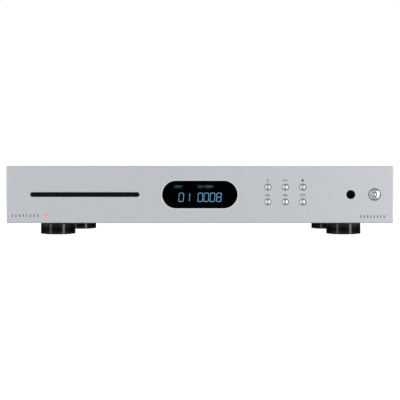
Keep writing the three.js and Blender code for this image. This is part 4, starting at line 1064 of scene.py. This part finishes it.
def build_cover():
    """One painted sheet folded over the top and down both sides."""
    half = COVER.size.x / 2
    low, high = COVER.low.z, COVER.high.z
    outer = [(half, low)]
    outer += arc((half - BEND, high - BEND), BEND, 0, 90, 8)
    outer += arc((BEND - half, high - BEND), BEND, 90, 180, 8)
    outer += [(-half, low)]
    inner = [(SHEET - half, low)]
    inner += arc((BEND - half, high - BEND), BEND - SHEET, 180, 90, 8)
    inner += arc((half - BEND, high - BEND), BEND - SHEET, 90, 0, 8)
    inner += [(half - SHEET, low)]
    bm = prism(bmesh.new(), outer + inner, COVER.low.y, COVER.high.y)
    obj = make("cover", bm, CASE, PAINT, edge=0.25)
    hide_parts("top_cover")


def node_opening(node, overlap):
    """The rectangle that a rear connector's body passes through."""
    span = Span(node)
    size = (span.size.x - overlap, span.size.z - overlap)
    return round_rect(span.face, size, 0.6, 3)


JACK_X = (Span("trigger_jacks").low.x + 5, Span("trigger_jacks").high.x - 5)
COAX = Span("coaxial_socket")
COAX_RADIUS = 4.15
SOCKET_Z = COAX.high.z - COAX_RADIUS - 2
JACK_RADIUS = 3.4
OPTICAL = Span("optical_socket")
OPTICAL_SIZE = 10.4
HOLE_GAP = 0.3  # air round each socket in its hole
INLET_OVERLAP = 4.6  # how much smaller than its flange the inlet's hole is
SWITCH_OVERLAP = 2.6


def build_rear_panel():
    """The rear sheet with its connector cut-outs."""
    centre = REAR.face
    outline = round_rect(centre, (REAR.size.x, REAR.size.z), BEND, 6)
    optical = round_rect((OPTICAL.mid.x, SOCKET_Z), (OPTICAL_SIZE, OPTICAL_SIZE), 0.4, 3)
    holes = [
        node_opening("mains_inlet", INLET_OVERLAP),
        node_opening("mains_switch_housing", SWITCH_OVERLAP),
        circle((COAX.mid.x, SOCKET_Z), COAX_RADIUS + HOLE_GAP, 40),
        optical,
        *(circle((x, SOCKET_Z), JACK_RADIUS + HOLE_GAP, 40) for x in JACK_X),
    ]
    rims = [Rim(outline, front=0.1, back=0.25)]
    rims += [Rim(loop, True, 0.1, 0.2, 2) for loop in holes]
    bm = plate(bmesh.new(), rims, REAR.low.y, REAR.high.y)
    obj = make("rear_sheet", bm, CASE, PAINT)
    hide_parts("rear_panel")


FOOT_BORE = 2.2
FOOT_RECESS = 2.0
PAD_HOLE = 6
PAD_GROOVE = 0.5  # depth of the ring groove in the pad's face
PAD_GROOVE_HALF = 2.6  # half of the groove's width at its floor
PAD_GROOVE_SLOPE = 0.6


def build_foot(where):
    """The moulded shell, its recess and its screw seat, then the rubber ring under it."""
    shell = Span("foot_" + where)
    pad = Span("foot_pad_" + where)
    outer = shell.size.x / 2
    seat = pad.size.x / 2 + FIT_GAP
    low, top = shell.low.z, shell.high.z
    profile = soften([
        (FOOT_BORE, top),
        (outer, top, 0.5),
        (outer, low, 0.6),
        (seat, low, 0.3),
        (seat, low + FOOT_RECESS),
        (FOOT_BORE, low + FOOT_RECESS, 0.3),
        (FOOT_BORE, top - 1),
    ], 5)
    centre = (shell.mid.x, shell.mid.y, 0)
    bm = lathe(bmesh.new(), profile, centre, "z", 96)
    obj = make("foot_shell_" + where, bm, CASE, FOOT)
    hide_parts("foot_" + where)
    edge = pad.size.x / 2
    half_way = pad.high.z / 2
    track = (edge + PAD_HOLE) / 2
    floor = pad.low.z + PAD_GROOVE
    lip_half = PAD_GROOVE_HALF + PAD_GROOVE_SLOPE
    ring = soften([
        (PAD_HOLE, half_way),
        (PAD_HOLE, pad.high.z),
        (edge, pad.high.z),
        (edge, pad.low.z, 0.5),
        (track + lip_half, pad.low.z, 0.2),
        (track + PAD_GROOVE_HALF, floor, 0.2),
        (track - PAD_GROOVE_HALF, floor, 0.2),
        (track - lip_half, pad.low.z, 0.2),
        (PAD_HOLE, pad.low.z, 0.4),
        (PAD_HOLE, half_way - 0.1),
    ], 3)
    bm = lathe(bmesh.new(), ring, centre, "z", 96)
    rubber = make("foot_ring_" + where, bm, CASE, FOOT_RUBBER)
    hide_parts("foot_pad_" + where)


# ---------------------------------------------------------------- screws

SIDE_SCREWS = (0.14, 0.5, 0.86)  # along the cover's depth
REAR_SCREWS = (0.02, 0.27, 0.5, 0.73, 0.98)  # along the rear panel's width
REAR_SCREW_INSET = 4.5
BASE_SCREWS = (-0.96, 0, 0.96)
BASE_SCREW_INSET = 8
# head radius, and height where it isn't set by the room it has
SIDE_HEAD = 3.2
REAR_HEAD = (2.6, 1.2)
FOOT_HEAD = (3.6, 1.3)
BASE_HEAD = (2.6, 0.7)
SOCKET_RADIUS = 1.25
HEX_HALF = 1.2  # half of the hexagon's width across its flats
SOCKET_FLOOR = 0.25


def screw(bm, place, axis, out, radius, height):
    """A pan head with a hexagon socket, its seat at place and its head towards out."""
    profile = soften([
        (SOCKET_RADIUS, SOCKET_FLOOR),
        (SOCKET_RADIUS, height, 0.15),
        (radius * 0.6, height, 0.6),
        (radius, height * 0.45, 0.4),
        (radius, -0.05),
    ], 4)
    order = {"x": (2, 0, 1), "y": (0, 2, 1), "z": (0, 1, 2)}[axis]

    def placed(u, v, w):
        local = (u, v, out * w)
        return tuple(place[i] + local[order[i]] for i in range(3))

    rings = []
    for i, (radius_here, w) in enumerate(profile):
        points = []
        for k in range(48):
            angle = math.radians(7.5 * k)
            r = radius_here
            if i < 2:
                turn = (angle + math.pi / 6) % (math.pi / 3) - math.pi / 6
                r = HEX_HALF / math.cos(turn)
            points.append(placed(r * math.cos(angle), r * math.sin(angle), w))
        rings.append(add_ring(bm, points))
    for near, far in zip(rings, rings[1:]):
        bridge(bm, near, far)
    bm.faces.new(rings[0])
    bm.faces.new(rings[-1])


def build_screws():
    """Cover screws on both sides, rear panel screws, and the base's screws."""
    side_height = PANEL.high.x - COVER.high.x - 0.05
    for side, name in ((-1, "left"), (1, "right")):
        bm = bmesh.new()
        for share in SIDE_SCREWS:
            y = COVER.low.y + share * COVER.size.y
            screw(bm, (side * COVER.high.x, y, COVER.mid.z), "x", side, SIDE_HEAD, side_height)
        make("cover_screws_" + name, bm, CASE, SCREW)
    bm = bmesh.new()
    for share in REAR_SCREWS:
        x = REAR.low.x + share * REAR.size.x
        for z in (REAR.low.z + REAR_SCREW_INSET, REAR.high.z - REAR_SCREW_INSET):
            screw(bm, (x, REAR.high.y, z), "y", 1, *REAR_HEAD)
    make("rear_screws", bm, CASE, SCREW)
    bm = bmesh.new()
    for where in FEET:
        foot = Span("foot_" + where)
        screw(bm, (foot.mid.x, foot.mid.y, foot.low.z + FOOT_RECESS), "z", -1, *FOOT_HEAD)
    for share in BASE_SCREWS:
        x = share * CHASSIS.high.x
        for y in (CHASSIS.low.y + BASE_SCREW_INSET, CHASSIS.high.y - BASE_SCREW_INSET):
            screw(bm, (x, y, CHASSIS.low.z), "z", -1, *BASE_HEAD)
    make("base_screws", bm, CASE, SCREW)


# ---------------------------------------------------------------- rear sockets


COAX_WALL = 0.9
COAX_FLANGE = 2
COAX_FLANGE_FACE = 1.6  # from the rear panel
CORE_PIN = 1.0
CORE_DEPTH = 8
CORE_FACE = 1.2  # behind the barrel's end
BLOCK_RISE = 5.5  # block's top above the sockets' middle


def build_coax():
    """Gold barrel with its insulating core, standing on its moulded block."""
    axis = (COAX.mid.x, 0, SOCKET_Z)
    face = REAR.high.y
    reach = COAX.high.y
    r = COAX_RADIUS
    inner = r - COAX_WALL
    wide = r + COAX_FLANGE
    profile = soften([
        (inner, reach - 6),
        (inner, reach, 0.2),
        (r, reach, 0.4),
        (r, face + COAX_FLANGE_FACE),
        (wide, face + COAX_FLANGE_FACE, 0.3),
        (wide, face + FIT_GAP),
        (r, face + FIT_GAP),
        (r, face - 2),
        (inner, face - 2),
    ], 4)
    bm = lathe(bmesh.new(), profile, axis)
    obj = make("coax_barrel", bm, CASE, GOLD)
    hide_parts("coaxial_socket")
    core = soften([
        (CORE_PIN, reach - CORE_DEPTH),
        (CORE_PIN, reach - CORE_FACE / 2),
        (1.7, reach - CORE_FACE / 2, 0.2),
        (2.2, reach - CORE_FACE, 0.2),
        (inner - 0.05, reach - CORE_FACE),
        (inner - 0.05, reach - CORE_DEPTH),
    ], 3)
    bm = lathe(bmesh.new(), core, axis, segments=40)
    block(bm, COAX.low, (COAX.high.x, REAR.low.y - FIT_GAP, SOCKET_Z + BLOCK_RISE))
    make("coax_insulator", bm, CASE, BLACK)


def build_all():
    build_fascia()
    build_slot_lips()
    build_window()
    build_window_mask()
    build_readout()
    build_badges()
    build_ir_window()
    build_lamp()
    for node in KEYS:
        build_key(node)
    build_power_button()
    build_symbols()
    build_marks()
    build_cover()
    build_rear_panel()
    for where in FEET:
        build_foot(where)
    build_screws()
    build_coax()
    dress_cad_nodes()


# ---------------------------------------------------------------- studio

WHITE = (1, 1, 1, 1)
LEVEL_GREY = 0.77  # light from the studio at eye level
FRONT_SHARE = 0.58  # how much of it comes from round the camera
LOW_SHARE = 0.12  # and from the shaded strip just below eye level
BEHIND_SHARE = 0.25  # and from behind the player
STEEP_SHARE = 0.35  # and from straight above or below


def build_floor():
    """A pale floor, lit from within so it reads white, and clear when it is seen from below."""
    bm = bmesh.new()
    outline = [(-6, -3), (6, -3), (6, 9), (-6, 9)]
    bm.faces.new([bm.verts.new((x, y, 0)) for x, y in outline])
    mesh = bpy.data.meshes.new("floor")
    bm.to_mesh(mesh)
    bm.free()
    floor = bpy.data.objects.new("floor", mesh)
    bpy.context.scene.collection.objects.link(floor)
    look = {"Roughness": 0.8, "Base_Color": (0.5, 0.5, 0.5, 1), "Specular_IOR_Level": 0.0}
    f = Finish("floor_white", Emission_Strength=1.0, **look)
    f.colour(f.noise(200, 2), tone(0.96), tone(0.99), socket="Emission Color")
    clear = f.add("ShaderNodeMixShader")
    f.tree.links.new(f.add("ShaderNodeNewGeometry").outputs["Backfacing"], clear.inputs[0])
    f.tree.links.new(f.shader.outputs[0], clear.inputs[1])
    f.tree.links.new(f.add("ShaderNodeBsdfTransparent").outputs[0], clear.inputs[2])
    f.tree.links.new(clear.outputs[0], f.tree.nodes["Material Output"].inputs["Surface"])
    mesh.materials.append(f.material)
    floor.visible_diffuse = False
    floor.visible_glossy = False


LAMP_DISTANCE = 2.4
AIM = Vector((0, PANEL.low.y * MM, 0.05))


def softbox(name, azimuth, height, size, radiance):
    """A rectangular soft light aimed at the fascia; azimuth 0 is straight in front."""
    angle = math.radians(azimuth)
    lamp = bpy.data.lights.new(name, "AREA")
    lamp.shape = "RECTANGLE"
    lamp.size, lamp.size_y = size
    lamp.energy = radiance * math.pi * size[0] * size[1]
    obj = bpy.data.objects.new(name, lamp)
    obj.location = AIM + LAMP_DISTANCE * Vector((math.sin(angle), -math.cos(angle), 0))
    obj.location.z = height
    obj.rotation_euler = (AIM - obj.location).to_track_quat("-Z", "Y").to_euler()
    obj.visible_camera = False
    bpy.context.scene.collection.objects.link(obj)


def build_world():
    """White to the camera; to the surfaces, grey at eye level and darker in the other directions."""
    world = bpy.data.worlds.new("studio")
    bpy.context.scene.world = world
    world.use_nodes = True
    tree = world.node_tree
    tree.nodes.clear()
    split = tree.nodes.new("ShaderNodeSeparateXYZ")
    direction = tree.nodes.new("ShaderNodeTexCoord").outputs["Generated"]
    tree.links.new(direction, split.inputs[0])

    def combined(operation, first, second=None):
        node = tree.nodes.new("ShaderNodeMath")
        node.operation = operation
        tree.links.new(first, node.inputs[0])
        if second:
            tree.links.new(second, node.inputs[1])
        return node.outputs[0]

    def fade(value, start, end, low, high):
        node = map_range(tree, value, start, end, low, high)
        node.interpolation_type = "SMOOTHSTEP"
        return node.outputs[0]

    def background():
        node = tree.nodes.new("ShaderNodeBackground")
        node.inputs["Color"].default_value = WHITE
        return node

    depth, height = split.outputs["Y"], split.outputs["Z"]
    strength = fade(depth, -0.98, -0.86, FRONT_SHARE * LEVEL_GREY, LEVEL_GREY)
    strip = combined("MAXIMUM", fade(height, -0.15, -0.09, 1, 0), fade(height, -0.02, 0, 0, 1))
    shares = [
        fade(depth, -0.2, 0.5, 1, BEHIND_SHARE),
        fade(combined("ABSOLUTE", height), 0.35, 0.85, 1, STEEP_SHARE),
        fade(strip, 0, 1, LOW_SHARE, 1),
    ]
    for share in shares:
        strength = combined("MULTIPLY", strength, share)
    surround = background()
    tree.links.new(strength, surround.inputs["Strength"])
    seen = background()
    path = tree.nodes.new("ShaderNodeLightPath")
    mix = tree.nodes.new("ShaderNodeMixShader")
    tree.links.new(path.outputs["Is Camera Ray"], mix.inputs[0])
    tree.links.new(surround.outputs[0], mix.inputs[1])
    tree.links.new(seen.outputs[0], mix.inputs[2])
    output = tree.nodes.new("ShaderNodeOutputWorld")
    tree.links.new(mix.outputs[0], output.inputs["Surface"])


CAMERA_PLACE = (0.0249, -1.2555, 0.0464)
CAMERA_LENS = 86.1
CAMERA_SHIFT = (-0.05365, -0.01175)


def build_camera():
    """Level with the slot and almost square on, a little right of the middle."""
    camera = bpy.data.cameras.new("camera")
    camera.lens = CAMERA_LENS
    camera.sensor_width = 36
    camera.shift_x, camera.shift_y = CAMERA_SHIFT
    camera.clip_start = 0.05
    obj = bpy.data.objects.new("camera", camera)
    obj.location = CAMERA_PLACE
    obj.rotation_euler = (math.radians(90), 0, 0)
    bpy.context.scene.collection.objects.link(obj)
    bpy.context.scene.camera = obj


def build_studio():
    build_floor()
    build_world()
    softbox("key_right", 45, 0.2, (0.62, 2.1), 4.6)
    softbox("fill_left", -46, 0.2, (0.55, 2.1), 1.9)
    softbox("rear_light", 165, 1.4, (1.6, 1.2), 5.0)
    build_camera()
    bpy.context.scene.view_settings.view_transform = "Standard"


build_all()
build_studio()
